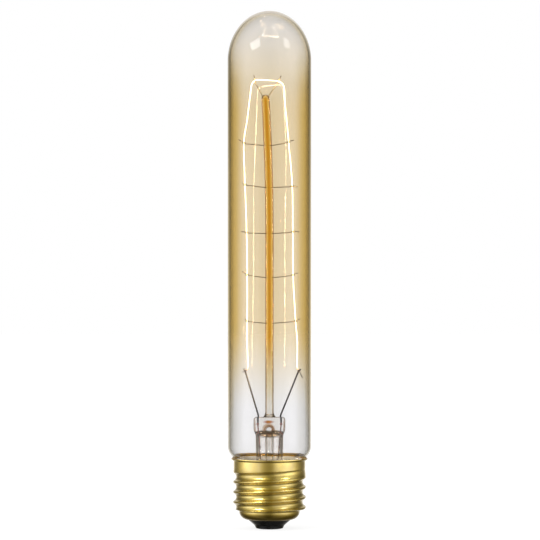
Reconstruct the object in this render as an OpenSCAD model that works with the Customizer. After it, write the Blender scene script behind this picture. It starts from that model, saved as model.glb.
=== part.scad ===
// Long tubular filament lamp on a medium Edison screw cap.
// Millimetres, Z up. The origin is the middle of the bottom contact face and the tube runs along Z.
// The press, the leads, the rod and the filament all stand in the XZ plane.

/* [Glass envelope] */
// Outside diameter of the straight tube
tube_d = 30; // [28:0.5:36]
// Height of the whole lamp, contact face to top of the dome
overall_h = 186; // [178:1:230]
// Height of the domed end
dome_h = 18; // [12:0.5:22]
// Wall of the blown glass
glass_wall = 0.85; // [0.6:0.05:1.1]
// Radius of the shoulder above the cap
shoulder_r = 5.4; // [4.4:0.1:6]
// Radius of the hollow curve between shoulder and neck
waist_r = 3; // [2:0.1:3.6]
// Outside diameter of the neck inside the cap
neck_d = 22; // [21:0.1:22.4]
// Height of the neck's sealed foot above the contact face
seal_z = 13.7; // [12.6:0.1:15]

/* [Screw cap] */
// Major diameter of the thread
thread_d = 26.15; // [25.9:0.05:26.8]
// Depth of the thread from crest to root
thread_depth = 1.09; // [0.8:0.01:1.15]
// Pitch of the thread
thread_pitch = 3.629; // [3.4:0.001:3.8]
// Height of the lip's top edge above the contact face
cap_h = 25.3; // [25:0.1:27]
// Height of the plain skirt and lip together
skirt_h = 3.5; // [3.2:0.1:4.4]
// Outside diameter of the plain skirt
skirt_d = 25.8; // [25.6:0.05:26.6]
// How far the flared lip stands out from the skirt
lip_out = 0.8; // [0.7:0.05:1]
// Sheet thickness of the brass shell
cap_wall = 0.3; // [0.2:0.01:0.35]
// Outside diameter of the foot below the thread
foot_d = 21.8; // [21.4:0.1:22.6]
// Height of the foot's edge, where the thread starts
foot_z = 6.4; // [6:0.1:6.9]
// Radius of the foot's rounded bottom corner
foot_r = 3.1; // [2.8:0.1:3.4]

/* [Base contact] */
// Diameter of the centre contact
contact_d = 8.8; // [7.5:0.1:9.3]
// Thickness of the centre contact
contact_t = 0.5; // [0.45:0.05:0.8]
// How far the contact stands out below the insulator's rim
contact_out = 0.15; // [0.05:0.05:0.3]
// Diameter of the solder filled hollow in the contact
dimple_d = 3.6; // [3.2:0.1:4.6]
// Outside diameter of the contact's neck in the insulator
eyelet_d = 3; // [2.6:0.1:3.1]
// Height of the contact's neck
eyelet_h = 2; // [1:0.1:2.6]
// Height of the black glass in the middle
insulator_h = 6.2; // [5.4:0.1:6.6]

/* [Glass stem] */
// Outside diameter of the flare tube
flare_d = 9.9; // [9:0.1:10.4]
// Wall of the flare tube
flare_wall = 0.9; // [0.7:0.05:1]
// Height of the flare tube's top above the contact face
flare_top_z = 33; // [31:0.5:35]
// Height of the flared foot of the tube
flare_foot_h = 6.3; // [4:0.1:9]
// Width of the press
press_w = 11.4; // [10.8:0.1:13]
// Thickness of the press
press_t = 4.5; // [4.2:0.1:5.5]
// Height of the press above the flare tube
press_h = 7.1; // [6.4:0.1:8.5]
// Diameter of the blow hole in the press
blow_d = 2.2; // [1.4:0.1:2.4]
// Outside diameter of the exhaust tube
exhaust_d = 3.2; // [2.6:0.1:3.4]
// Bore of the exhaust tube
exhaust_bore = 1.8; // [1:0.1:2]
// Height of the exhaust tube's sealed tip above the contact face
exhaust_tip_z = 8.5; // [7.8:0.1:12]
// Diameter of the glass rod
rod_d = 3; // [2.4:0.1:3.6]
// Height of the rod above the press
rod_h = 115.8; // [112:0.1:122]
// Height of the straight part of the rod
rod_straight = 66; // [40:1:80]
// How far the rod's top leans to the left
rod_lean = 1.45; // [0.2:0.05:1.8]

/* [Filament and its supports] */
// Diameter of the coiled filament
filament_d = 0.5; // [0.3:0.05:0.6]
// Mean distance of a strand from the axis
strand_reach = 8.4; // [7:0.1:9]
// Wire of the side supports and the top hooks
support_d = 0.3; // [0.2:0.05:0.4]
// Height of the lowest supports above the press
support_first = 33.7; // [28:0.1:38]
// Depth of the highest supports below the rod's top
support_drop = 18.1; // [12:0.1:26]
// How deep each wire is set into the glass rod
socket_depth = 0.8; // [0.4:0.05:1]
// Gap between the filament and the eye that holds it
eye_gap = 0.1; // [0.05:0.01:0.2]
// Distance of the hooks' roots below the rod's top
hook_drop = 1.3; // [1:0.1:3]

/* [Leads] */
// Wire of the upper leads
lead_d = 0.6; // [0.4:0.05:0.7]
// Distance of each lead from the axis in the press
lead_x = 4; // [3.6:0.05:4.2]
// Height of the lead tips above the press
lead_rise = 16.7; // [12:0.1:22]
// Distance of the left lead's tip from the axis
lead_tip_left = 8.8; // [7:0.1:10]
// Distance of the right lead's tip from the axis
lead_tip_right = 10.6; // [8:0.1:11.2]
// Wire of the seals through the press
seal_d = 0.4; // [0.3:0.05:0.5]
// Diameter of the weld knots on the seal wires
knot_d = 0.9; // [0.8:0.05:1.1]
// Height of the upper weld knots above the flare tube
knot_z = 4.6; // [4:0.1:5]
// Depth of the lower weld knots below the flare tube's top
knot_drop = 3.7; // [2:0.1:6]
// Wire of the lower leads
lower_d = 0.4; // [0.3:0.05:0.5]
// Angle of the lead's solder on the lip, from the right-hand side towards the back
solder_angle = 30; // [0:5:90]

/* [Hidden] */
$fn = 64;
// Clearance between pieces that seat on each other
fit = 0.04;
levels = 5;

// Envelope
tube_r = tube_d / 2;
neck_r = neck_d / 2;
neck_bore_r = neck_r - glass_wall;
lip_edge_r = skirt_d / 2 + lip_out - cap_wall;
// Height of the glass above the lip where the shoulder passes over the lip's inner edge
lip_air = 0.56;
shoulder_x = tube_r - shoulder_r;
shoulder_z = cap_h + lip_air + sqrt(pow(shoulder_r, 2) - pow(lip_edge_r - shoulder_x, 2));
shoulder_turn = acos((neck_r + waist_r - shoulder_x) / (shoulder_r + waist_r));
waist_z = shoulder_z - (shoulder_r + waist_r) * sin(shoulder_turn);
dome_z = overall_h - dome_h;

// Cap
thread_r = thread_d / 2;
skirt_r = skirt_d / 2;
skirt_z = cap_h - skirt_h;
// Height of the step that leads from the foot out to the first crest
step_h = 0.9;
// Height of a crest on the right-hand side
crest_z = foot_z + 1.3;
// Radius of the crest and root arcs, equal and tangent to each other
knuckle_r = (pow(thread_pitch / 2, 2) + pow(thread_depth, 2)) / (4 * thread_depth);
// The groove fades out between these two heights under the skirt
fade_from = skirt_z - 2.8;
fade_to = skirt_z - 1.2;
lip_hollow = 0.3;
lip_round = lip_out - lip_hollow;
lip_edge_h = 0.2;
lip_z = cap_h - lip_edge_h - lip_round - lip_hollow;
sectors = 48;
foot_rows = 5;
lip_rows = 3;
thread_rows = ceil((skirt_z - foot_z) / thread_pitch * 8.5);
foot_edge_r = foot_d / 2 - foot_r;
foot_edge_z = foot_z - foot_r;

// Stem
flare_r = flare_d / 2;
flare_bore_r = flare_r - flare_wall;
flare_rim_r = neck_bore_r - fit;
flare_start_z = seal_z + flare_wall + flare_foot_h;
press_z = flare_top_z + press_h;
press_edge = 1.1;
// Where the round tube has become the flat press
flat_z = flare_top_z + 2.4;
blow_z = flare_top_z + 2.3;
exhaust_top_z = flare_top_z + 1.6;
rod_r = rod_d / 2;
rod_z = press_z + rod_h;
bend_z = press_z + rod_straight;
bend_h = rod_h - rod_straight - rod_r;
bend_r = (pow(bend_h, 2) + pow(rod_lean, 2)) / (2 * rod_lean);
bend_turn = asin(bend_h / bend_r);

// Filament and its supports, as a hand mounted lamp has them: lowest level first
support_r = support_d / 2;
filament_r = filament_d / 2;
eye_r = filament_r + eye_gap + support_r;
support_step = (rod_h - support_drop - support_first) / (levels - 1);
root_trim = [0, 0.4, 0.25, 0.8, -0.1];
reach_trim = [[-0.4, -0.4, -0.2, 0.4, 0.8], [1, 0.1, 0, -0.2, -1.5]];
eye_rise = [[0.8, 1, 0.3, 1, 0.8], [0.8, 1, 0.6, 0.4, 1.2]];
tail = [
    [[0.8, 0.7], [1.7, 1.1], [1.8, 0.3], [0.9, 0.6], [1.8, 1.2]],
    [[1.5, 0.7], [1.6, 0.6], [2.2, -0.1], [1.8, -0.3], [1.7, 0.6]]
];

// Leads
lead_r = lead_d / 2;
seal_r = seal_d / 2;
lower_r = lower_d / 2;
upper_knot_z = flare_top_z + knot_z;
lower_knot_z = flare_top_z - knot_drop;
lower_knot_x = flare_bore_r - knot_d / 2 - 0.1;
tip_z = press_z + lead_rise;
// Distance from the axis of the wire that runs up between the neck and the shell
shell_run_r = (neck_r + thread_r - thread_depth - cap_wall) / 2;

// Small helpers
function unit(v) = v / norm(v);
function smooth(x) = let (t = min(max(x, 0), 1)) t * t * (3 - 2 * t);
function arc(cx, cz, r, from, to, steps) =
    [for (i = [0:steps]) let (a = from + (to - from) * i / steps) [cx + r * cos(a), cz + r * sin(a)]];
function backwards(list) = [for (i = [len(list) - 1:-1:0]) list[i]];
// Point of a profile [radius, height], turned to angle a round the lamp's axis
function turned(p, a) = [p[0] * cos(a), p[0] * sin(a), p[1]];

// Direction of a path at its point i, and a side direction carried along it without twist
function heading(path, i) =
    let (n = len(path) - 1, j = min(i, n))
    unit(path[min(j + 1, n)] - path[max(j - 1, 0)]);
function square_to(v, t) = unit(v - (v * t) * t);
function first_side(t) = square_to(abs(t[1]) < 0.9 ? [0, 1, 0] : [1, 0, 0], t);
function carried_sides(path) = [
    for (
        i = 0, s = first_side(heading(path, 0));
        i < len(path);
        i = i + 1, s = square_to(s, heading(path, i))
    ) s
];

// Round wire of radius r swept along a path
module wire(path, r, sides = 6) {
    last = len(path) - 1;
    side = carried_sides(path);
    points = [
        for (i = [0:last], k = [0:sides - 1])
            let (a = 360 * k / sides)
            path[i] + r * (cos(a) * side[i] + sin(a) * cross(heading(path, i), side[i]))
    ];
    skin = [
        for (i = [0:last - 1], k = [0:sides - 1])
            let (a = i * sides + k, b = i * sides + (k + 1) % sides)
            each [[a, a + sides, b], [b, a + sides, b + sides]]
    ];
    ends = [[for (k = [0:sides - 1]) k], [for (k = [sides - 1:-1:0]) last * sides + k]];
    polyhedron(points, concat(skin, ends), convexity = 6);
}

// Smooth curve through points, each span a cubic that leaves along the chord of its neighbours
function spline(p, steps) =
    let (n = len(p) - 1)
    concat(
        [
            for (i = [0:n - 1], s = [0:steps - 1])
                let (
                    t = s / steps,
                    m0 = (p[i + 1] - p[max(i - 1, 0)]) / 2,
                    m1 = (p[min(i + 2, n)] - p[i]) / 2
                )
                (2 * t ^ 3 - 3 * t ^ 2 + 1) * p[i] + (t ^ 3 - 2 * t ^ 2 + t) * m0
                + (3 * t ^ 2 - 2 * t ^ 3) * p[i + 1] + (t ^ 3 - t ^ 2) * m1
        ],
        [p[n]]
    );

// Turn of wire round a thread that runs along axis through centre, met and left heading along way
function eye(centre, axis, way, r, turn, rise, steps = 9) =
    let (across = unit(cross(axis, way)))
    [
        for (i = [0:steps])
            let (a = turn * i / steps)
            centre + r * (sin(a) * way - cos(a) * across) + axis * rise * (a / 360 - 0.5)
    ];

// Cylinder from one point to another, for wires and for the sockets that take them
module bar(from, to, r) {
    v = to - from;
    translate(from)
        rotate([0, acos(v[2] / norm(v)), atan2(v[1], v[0])])
            cylinder(h = norm(v), r = r, $fn = 24);
}

// Glass envelope: dome, straight tube, shoulder, waist and neck, the inner wall set in by w
function envelope_line(w) = concat(
    [
        for (i = [0:20])
            let (a = 90 - 4.5 * i)
            [(tube_r - w) * cos(a), dome_z + (dome_h - w) * sin(a)]
    ],
    arc(shoulder_x, shoulder_z, shoulder_r - w, 0, -shoulder_turn, 10),
    arc(neck_r + waist_r, waist_z, waist_r + w, 180 - shoulder_turn, 180, 6),
    [[neck_r - w, seal_z]]
);

module glass_envelope() {
    color([0.86, 0.75, 0.5, 0.35])
        rotate_extrude()
            polygon(concat(envelope_line(0), backwards(envelope_line(glass_wall))));
}

// Quarter of an ellipse from the tube's wall of radius r out to the rim, h below its start
function flare_curve(r, h) = [
    for (i = [0:12])
        let (a = 7.5 * i)
        [r + (flare_rim_r - r) * (1 - cos(a)), flare_start_z - h * sin(a)]
];

// Flare tube, its foot opened out until it meets the neck's wall
module stem_flare() {
    outer = flare_curve(flare_r, flare_foot_h);
    inner = flare_curve(flare_bore_r, flare_foot_h + flare_wall);
    color([0.9, 0.92, 0.92, 0.5])
        rotate_extrude()
            polygon(concat(
                [[flare_r, flare_top_z]], outer, backwards(inner), [[flare_bore_r, flare_top_z]]
            ));
}

// Slab with rounded edges that hull() joins into the press
module press_slab(w, t, z, edge) {
    for (x = [-1, 1], y = [-1, 1])
        translate([x * (w / 2 - edge), y * (t / 2 - edge), z])
            sphere(r = edge, $fn = 24);
}

// Press: the flare tube's top pinched flat over the seal wires
module stem_press() {
    color([0.9, 0.92, 0.92, 0.5])
        difference() {
            union() {
                hull() {
                    translate([0, 0, flare_top_z]) cylinder(h = 0.2, r = flare_r, $fn = 48);
                    press_slab(press_w - 0.8, press_t, flat_z, press_edge);
                }
                hull() {
                    press_slab(press_w - 0.8, press_t, flat_z, press_edge);
                    press_slab(press_w, press_t, upper_knot_z, press_edge);
                    press_slab(press_w, press_t, press_z - press_edge, press_edge);
                }
            }
            translate([0, 0, flare_top_z - 1]) cylinder(h = 1.8, r1 = flare_bore_r + 0.4, r2 = 3.1);
            translate([0, 0, flare_top_z - 1])
                cylinder(h = exhaust_top_z - flare_top_z + 1 + fit, d = exhaust_d + 2 * fit);
            translate([0, 0, flare_top_z]) cylinder(h = blow_z - flare_top_z, d = exhaust_bore);
            translate([0, 0, blow_z]) rotate([90, 0, 0]) cylinder(h = press_t, d = blow_d);
            for (side = [-1, 1]) {
                bar([side * lead_x, 0, upper_knot_z], [side * lead_x, 0, press_z + 1], lead_r + fit);
                translate([side * lead_x, 0, upper_knot_z]) sphere(d = knot_d + 2 * fit, $fn = 24);
                bar(
                    [side * lead_x, 0, upper_knot_z],
                    [side * lower_knot_x, 0, lower_knot_z],
                    seal_r + fit
                );
            }
        }
}

// Exhaust tube, drawn off and sealed at its lower tip
module exhaust_tube() {
    r = exhaust_d / 2;
    bore = exhaust_bore / 2;
    tip_h = 1.6 * r;
    color([0.9, 0.92, 0.92, 0.5])
        rotate_extrude()
            polygon(concat(
                [for (i = [0:8]) let (a = 11.25 * i) [r * sin(a), exhaust_tip_z + tip_h * (1 - cos(a))]],
                [[r, exhaust_top_z], [bore, exhaust_top_z]],
                [
                    for (i = [8:-1:0])
                        let (a = 11.25 * i)
                        [bore * sin(a), exhaust_tip_z + tip_h + bore * (1 - cos(a))]
                ]
            ));
}

// Axis of the rod: straight from the press, then leaning to the left along a long arc
function rod_x(z) =
    z < bend_z ? 0 : sqrt(pow(bend_r, 2) - pow(min(z - bend_z, bend_h), 2)) - bend_r;

// Roots of the wires in the rod: where the wire starts inside the glass, and where it is clear of it
function support_root(side, level, out) =
    let (z = press_z + support_first + support_step * level + root_trim[level])
    [rod_x(z) + side * (rod_r - socket_depth + out), 0, z];
function hook_way(side) = unit(side < 0 ? [-1.1, 0, 2.3] : [1.6, 0, 2.6]);
function hook_root(side, out) =
    [rod_x(rod_z - hook_drop) + side * (rod_r - socket_depth), 0, rod_z - hook_drop]
    + out * hook_way(side);

// Glass rod with a socket for each wire that is set into it
module stem_rod() {
    color([0.93, 0.7, 0.35, 0.6])
        difference() {
            union() {
                translate([0, 0, press_z + fit]) cylinder(h = rod_straight - fit, r = rod_r, $fn = 32);
                translate([-bend_r, 0, bend_z])
                    rotate([90, 0, 0])
                        rotate_extrude(angle = bend_turn, $fn = 720)
                            translate([bend_r, 0]) circle(r = rod_r, $fn = 32);
                translate([rod_x(rod_z), 0, bend_z + bend_h]) sphere(r = rod_r, $fn = 32);
            }
            for (side = [-1, 1]) {
                bar(hook_root(side, -fit), hook_root(side, socket_depth + 3), support_r + fit);
                for (level = [0:levels - 1])
                    bar(
                        support_root(side, level, -fit),
                        support_root(side, level, socket_depth + 1),
                        support_r + fit
                    );
            }
        }
}

// Eye that holds the strand at a side support
function row(side) = side < 0 ? 0 : 1;
function strand_eye(side, level) = [
    side * (strand_reach + reach_trim[row(side)][level]),
    0,
    support_root(side, level, 0)[2] + eye_rise[row(side)][level]
];

// Side support: out of the rod, one turn round the strand and a short tail
module side_support(side, level) {
    centre = strand_eye(side, level);
    root = support_root(side, level, 0);
    out = support_root(side, level, socket_depth + 0.4);
    ring = eye(centre, [0, 0, side], [side, 0, 0], eye_r, 360, side * (support_d + 0.1));
    tip = centre + [side * tail[row(side)][level][0], -eye_r, tail[row(side)][level][1]];
    color([0.35, 0.32, 0.28]) wire(concat([root, out], ring, [tip]), support_r);
}

// Eye at each top hook, and the way the filament runs through it
function hook_eye(side) =
    [rod_x(rod_z), 0, rod_z] + (side < 0 ? [-3.85, 0, 5] : [4.5, 0, 4.8]);
function hook_axis(side) = unit(side < 0 ? [1, 0, 0.55] : [1, 0, -0.25]);

// Top hook: up out of the rod, one turn round the filament and a short tail
module top_hook(side) {
    centre = hook_eye(side);
    root = hook_root(side, 0);
    out = hook_root(side, socket_depth + 1.4);
    axis = hook_axis(side);
    way = square_to(unit(centre - out), axis);
    ring = eye(centre, axis, way, eye_r, 360, support_d + 0.1);
    tip = centre + [side < 0 ? -0.3 : 1.1, -eye_r, 1.9];
    color([0.35, 0.32, 0.28]) wire(concat([root, out], ring, [tip]), support_r);
}

// Tip of each upper lead, which is folded round the end of the filament
function lead_tip(side) = [side < 0 ? -lead_tip_left : lead_tip_right, 0, tip_z];
function clamp_axis(side) = unit(side < 0 ? [-0.8, 0, -0.6] : [0.45, 0, -0.9]);

// Upper lead: from its weld in the press up to the folded tip
module upper_lead(side) {
    foot = [side * lead_x, 0, upper_knot_z];
    top = [side * lead_x, 0, press_z + 0.6];
    tip = lead_tip(side);
    axis = clamp_axis(side);
    way = square_to(unit(tip - top), axis);
    fold = eye(tip, axis, way, filament_r + lead_r + fit, 215, 0, 8);
    rise = [foot + [0, 0, knot_d / 2], top - [0, 0, 0.4], top + 0.5 * unit(tip - top)];
    color([0.5, 0.47, 0.42]) wire(concat(rise, fold), lead_r, 8);
}

// Seal wire through the press, with a weld knot at each end
module seal_wire(side) {
    top = [side * lead_x, 0, upper_knot_z];
    foot = [side * lower_knot_x, 0, lower_knot_z];
    color([0.7, 0.35, 0.2]) {
        bar(foot, top, seal_r);
        for (end = [foot, top])
            translate(end) sphere(d = knot_d, $fn = 24);
    }
}

// Lower lead to the centre contact, bent round the tip of the exhaust tube
module contact_lead() {
    foot = [-lower_knot_x, 0, lower_knot_z - knot_d / 2];
    clear_x = exhaust_d / 2 + lower_r + 0.5;
    path = [
        foot,
        foot - [-0.1, 0, 4],
        [-clear_x - 0.6, 0, (foot[2] + exhaust_tip_z) / 2],
        [-clear_x, 0, exhaust_tip_z + 1.5],
        [-clear_x / 2, 0, exhaust_tip_z - 0.9],
        [0, 0, insulator_h - 0.4],
        [0, 0, insulator_h - 2],
        [0, 0, contact_t + 0.1]
    ];
    color([0.8, 0.5, 0.3]) wire(spline(path, 2), lower_r);
}

// Lower lead to the shell: out under the neck, up through the cement to the lip
module shell_lead() {
    weld_z = lower_knot_z - knot_d / 2;
    under_z = seal_z - lower_r - 0.5;
    inside = [
        turned([lower_knot_x, weld_z], 0),
        turned([lower_knot_x - 0.2, weld_z - 4], solder_angle / 4),
        turned([lower_knot_x - 0.2, seal_z + flare_foot_h + 0.8], solder_angle / 2)
    ];
    outside = [
        [lower_knot_x + 0.8, under_z + 3.2],
        [lower_knot_x + 3.2, under_z + 0.6],
        [shell_run_r - 1.4, under_z - 0.3],
        [shell_run_r - 0.1, under_z + 0.1],
        [shell_run_r, under_z + 1.4],
        [shell_run_r, under_z + 4],
        [shell_run_r, waist_z - 0.6],
        [shell_run_r + 0.5, waist_z + 1.3],
        [skirt_r - cap_wall - lower_r - 0.2, cap_h - 0.8],
        [lip_edge_r - 0.8, cap_h - 0.35],
        [lip_edge_r - lower_r - 0.15, cap_h - 0.1]
    ];
    path = concat(inside, [for (p = outside) turned(p, solder_angle)]);
    color([0.8, 0.5, 0.3]) wire(spline(path, 2), lower_r);
}

// Filament: clamped at the left lead, up through the left eyes, over both hooks and down the right
filament_route = concat(
    [
        lead_tip(-1) + 1.1 * clamp_axis(-1),
        lead_tip(-1),
        lead_tip(-1) + [1, 0, 1.1],
        [-strand_reach + 0.4, 0, tip_z + 9.5]
    ],
    [for (level = [0:levels - 1]) strand_eye(-1, level)],
    [
        strand_eye(-1, levels - 1) + [1.2, 0, 8.4],
        [hook_eye(-1)[0] - 1.5, 0, hook_eye(-1)[2] - 4.2],
        [hook_eye(-1)[0] - 1.1, 0, hook_eye(-1)[2] - 1.4],
        hook_eye(-1),
        hook_eye(-1) + [2, 0, 0.35],
        hook_eye(1) + [-2.4, 0, 0.3],
        hook_eye(1),
        hook_eye(1) + [1.8, 0, -1.1],
        hook_eye(1) + [2.3, 0, -3.2],
        hook_eye(1) + [2.5, 0, -7.5],
        strand_eye(1, levels - 1) + [-0.7, 0, 7.8]
    ],
    [for (level = [levels - 1:-1:0]) strand_eye(1, level)],
    [
        [strand_reach + 1.6, 0, tip_z + 10],
        lead_tip(1) + [-0.6, 0, 1.3],
        lead_tip(1),
        lead_tip(1) + 3 * clamp_axis(1)
    ]
);

module filament() {
    color([1, 0.85, 0.5]) wire(spline(filament_route, 3), filament_r);
}

// Height of the thread's form below the crest, 0 on the crest and 1 in the root, turns from the crest
function knuckle(turns) =
    let (
        u = abs(turns - round(turns)) * thread_pitch,
        v = thread_pitch / 2 - u,
        near_crest = u <= thread_pitch / 4
    )
    near_crest
        ? (knuckle_r - sqrt(pow(knuckle_r, 2) - u * u)) / thread_depth
        : 1 - (knuckle_r - sqrt(pow(knuckle_r, 2) - v * v)) / thread_depth;

// Radius of the shell at angle a and height z: right-hand groove, faded out under the skirt, and
// cut off below by the step that leads in to the foot
function thread_skin(a, z) =
    let (
        turns = (z - crest_z) / thread_pitch - a / 360,
        groove_z = crest_z + thread_pitch * (floor(turns) + 0.5 + a / 360),
        depth = thread_depth * (1 - smooth((groove_z - fade_from) / (fade_to - fade_from))),
        crest = thread_r + (skirt_r - thread_r) * smooth((z - fade_from) / (skirt_z - fade_from)),
        step = foot_d / 2 + (thread_r - foot_d / 2) * smooth((z - foot_z) / step_h)
    )
    min(crest - depth * knuckle(turns), step);

// Profile of the shell at angle a, bottom edge to lip
function shell_line(a) = concat(
    arc(foot_edge_r, foot_z, foot_r, -90, -90 / foot_rows, foot_rows - 1),
    [
        for (i = [0:thread_rows])
            let (z = foot_z + (skirt_z - foot_z) * i / thread_rows)
            [thread_skin(a, z), z]
    ],
    [[skirt_r, (skirt_z + lip_z) / 2]],
    arc(skirt_r + lip_hollow, lip_z, lip_hollow, 180, 90, lip_rows),
    arc(skirt_r + lip_hollow, cap_h - lip_edge_h, lip_round, -60, 0, lip_rows - 1),
    [[skirt_r + lip_out, cap_h]]
);

// The same profile set in by the sheet thickness, square to the outer line
function set_in(line, w) = [
    for (i = [0:len(line) - 1])
        let (t = unit(line[min(i + 1, len(line) - 1)] - line[max(i - 1, 0)]))
        line[i] + w * (i == len(line) - 1 ? [-1, 0] : i == 0 ? [0, 1] : [-t[1], t[0]])
];

// Brass shell: one thin sheet with the rolled thread, the plain skirt and the flared lip
module cap_shell() {
    lines = [for (k = [0:sectors - 1]) shell_line(360 * k / sectors)];
    rows = len(lines[0]);
    outer = [for (k = [0:sectors - 1], p = lines[k]) turned(p, 360 * k / sectors)];
    inner = [for (k = [0:sectors - 1], p = set_in(lines[k], cap_wall)) turned(p, 360 * k / sectors)];
    count = rows * sectors;
    faces = [
        for (k = [0:sectors - 1], i = [0:rows - 2])
            let (a = k * rows + i, b = (k + 1) % sectors * rows + i)
            each [
                [a, a + 1, b + 1], [a, b + 1, b],
                [count + a, count + b + 1, count + a + 1], [count + a, count + b, count + b + 1]
            ]
    ];
    edges = [
        for (k = [0:sectors - 1])
            let (a = k * rows, b = (k + 1) % sectors * rows, top = rows - 1)
            each [
                [a, b, count + b], [a, count + b, count + a],
                [a + top, count + b + top, b + top], [a + top, count + a + top, count + b + top]
            ]
    ];
    color([0.78, 0.66, 0.32]) polyhedron(concat(outer, inner), concat(faces, edges), convexity = 8);
}

// Cement between the neck and the shell, with a slot for the lead
module cap_cement() {
    inside_r = thread_r - thread_depth - cap_wall - 2 * fit;
    skirt_in = skirt_r - cap_wall - 2 * fit;
    top_z = skirt_z + 2;
    slot_w = lower_d + 4 * fit;
    color([0.75, 0.72, 0.65])
        difference() {
            rotate_extrude()
                polygon([
                    [neck_r + 0.01, seal_z + 4], [inside_r, seal_z + 4], [inside_r, skirt_z + 0.2],
                    [skirt_in, skirt_z + 0.6], [skirt_in, top_z], [neck_r + 0.01, top_z]
                ]);
            rotate_extrude()
                polygon(concat(envelope_line(-fit), [[0, seal_z], [0, overall_h]]));
            rotate([0, 0, solder_angle])
                translate([neck_r - 1, -slot_w / 2, seal_z]) cube([4, slot_w, cap_h - seal_z]);
        }
}

// Black glass insulator, filling the shell's foot round the contact's neck
module cap_insulator() {
    hole_r = eyelet_d / 2 + fit;
    seat_r = contact_d / 2 + fit;
    rim_r = contact_d / 2 + 0.5;
    edge_r = foot_edge_r - 2 * fit;
    inner_r = foot_r - cap_wall - 2 * fit;
    color([0.08, 0.07, 0.07])
        rotate_extrude()
            polygon(concat(
                [[hole_r, contact_t], [seat_r, contact_t], [seat_r, contact_out], [rim_r, contact_out]],
                [[rim_r + 0.5, contact_out + 1.1], [edge_r, foot_edge_z - 0.05]],
                [[edge_r, foot_z - inner_r]],
                arc(foot_edge_r, foot_z, inner_r, -90, 0, 8),
                [[foot_d / 2 - cap_wall - 2 * fit - 1.2, foot_z], [hole_r + 2.4, insulator_h]],
                [[hole_r, insulator_h]]
            ));
}

// Centre contact: flat disc with a hollow for the solder and a neck that grips the insulator
module centre_contact() {
    r = contact_d / 2;
    eyelet_r = eyelet_d / 2;
    edge = 0.2;
    hollow = contact_t - 0.2;
    color([0.72, 0.7, 0.64])
        rotate_extrude()
            polygon(concat(
                [[dimple_d / 2, 0]],
                arc(r - edge, edge, edge, -90, 0, 4),
                [[r, contact_t], [eyelet_r, contact_t], [eyelet_r, contact_t + eyelet_h]],
                [[eyelet_r - 0.3, contact_t + eyelet_h], [eyelet_r - 0.3, contact_t]],
                [[lower_r + 2 * fit, contact_t], [lower_r + 2 * fit, hollow], [dimple_d / 2 - 0.3, hollow]]
            ));
}

// Solder that fills the contact's hollow flush with its face
module contact_solder() {
    r = dimple_d / 2 - fit;
    hollow = contact_t - 0.2 - fit;
    color([0.8, 0.8, 0.82])
        rotate_extrude()
            polygon([[0, 0], [r, 0], [r - 0.3, hollow], [0, hollow]]);
}

// Solder drop that joins the lead to the lip, laid over the lip's edge
module side_solder() {
    lip_r = skirt_r + lip_out;
    drop_r = 0.65;
    drop_h = 0.45;
    color([0.8, 0.8, 0.82])
        difference() {
            translate(turned([lip_r - 0.1, cap_h], solder_angle))
                rotate_extrude($fn = 32)
                    polygon([for (i = [0:12]) let (a = 90 - 15 * i) [drop_r * cos(a), drop_h * sin(a)]]);
            translate([0, 0, cap_h - 2]) cylinder(h = 2 + fit / 2, r = lip_r + fit, $fn = 96);
        }
}

glass_envelope();
stem_flare();
stem_press();
exhaust_tube();
stem_rod();
top_hook(-1);  // top_hook_left
top_hook(1);  // top_hook_right
for (level = [0:levels - 1]) {
    side_support(-1, level);
    side_support(1, level);
}
upper_lead(-1);  // upper_lead_left
upper_lead(1);  // upper_lead_right
seal_wire(-1);  // seal_wire_left
seal_wire(1);  // seal_wire_right
contact_lead();
shell_lead();
filament();
cap_shell();
cap_cement();
cap_insulator();
centre_contact();
contact_solder();
side_solder();
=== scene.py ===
import math

import bmesh
import bpy
import numpy as np
from mathutils import Euler, Matrix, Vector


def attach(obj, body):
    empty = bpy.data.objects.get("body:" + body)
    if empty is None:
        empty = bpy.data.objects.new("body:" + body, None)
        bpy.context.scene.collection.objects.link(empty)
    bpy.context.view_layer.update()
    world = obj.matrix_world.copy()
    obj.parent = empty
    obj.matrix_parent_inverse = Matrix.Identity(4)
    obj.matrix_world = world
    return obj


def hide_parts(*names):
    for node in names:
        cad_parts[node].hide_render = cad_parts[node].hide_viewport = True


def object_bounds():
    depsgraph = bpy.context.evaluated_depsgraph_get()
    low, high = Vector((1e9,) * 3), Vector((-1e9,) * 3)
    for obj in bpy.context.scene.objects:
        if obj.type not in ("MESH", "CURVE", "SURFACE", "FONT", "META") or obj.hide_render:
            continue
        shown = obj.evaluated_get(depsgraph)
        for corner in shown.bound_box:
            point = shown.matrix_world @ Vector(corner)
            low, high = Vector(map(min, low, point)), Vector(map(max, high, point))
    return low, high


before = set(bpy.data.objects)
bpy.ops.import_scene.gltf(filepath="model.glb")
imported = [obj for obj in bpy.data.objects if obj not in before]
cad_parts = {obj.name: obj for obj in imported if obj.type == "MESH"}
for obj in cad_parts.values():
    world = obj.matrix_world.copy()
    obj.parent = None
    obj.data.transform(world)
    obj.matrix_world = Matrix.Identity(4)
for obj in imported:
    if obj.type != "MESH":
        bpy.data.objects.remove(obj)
cadLow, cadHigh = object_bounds()
print("frame loaded:", len(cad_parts), "nodes")

mm = 0.001
sideNames = {-1: "left", 1: "right"}


# Camera: level and square on, as the photograph has it
picture = {
    "pixels": 540,
    "scale": 0.3595,  # millimetres under one pixel at the lamp's axis
    "axisPixelX": 269.45,
    "contactPixelY": 528.4,
    "distance": 1000.0,
    "sensor": 36.0,
}


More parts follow.
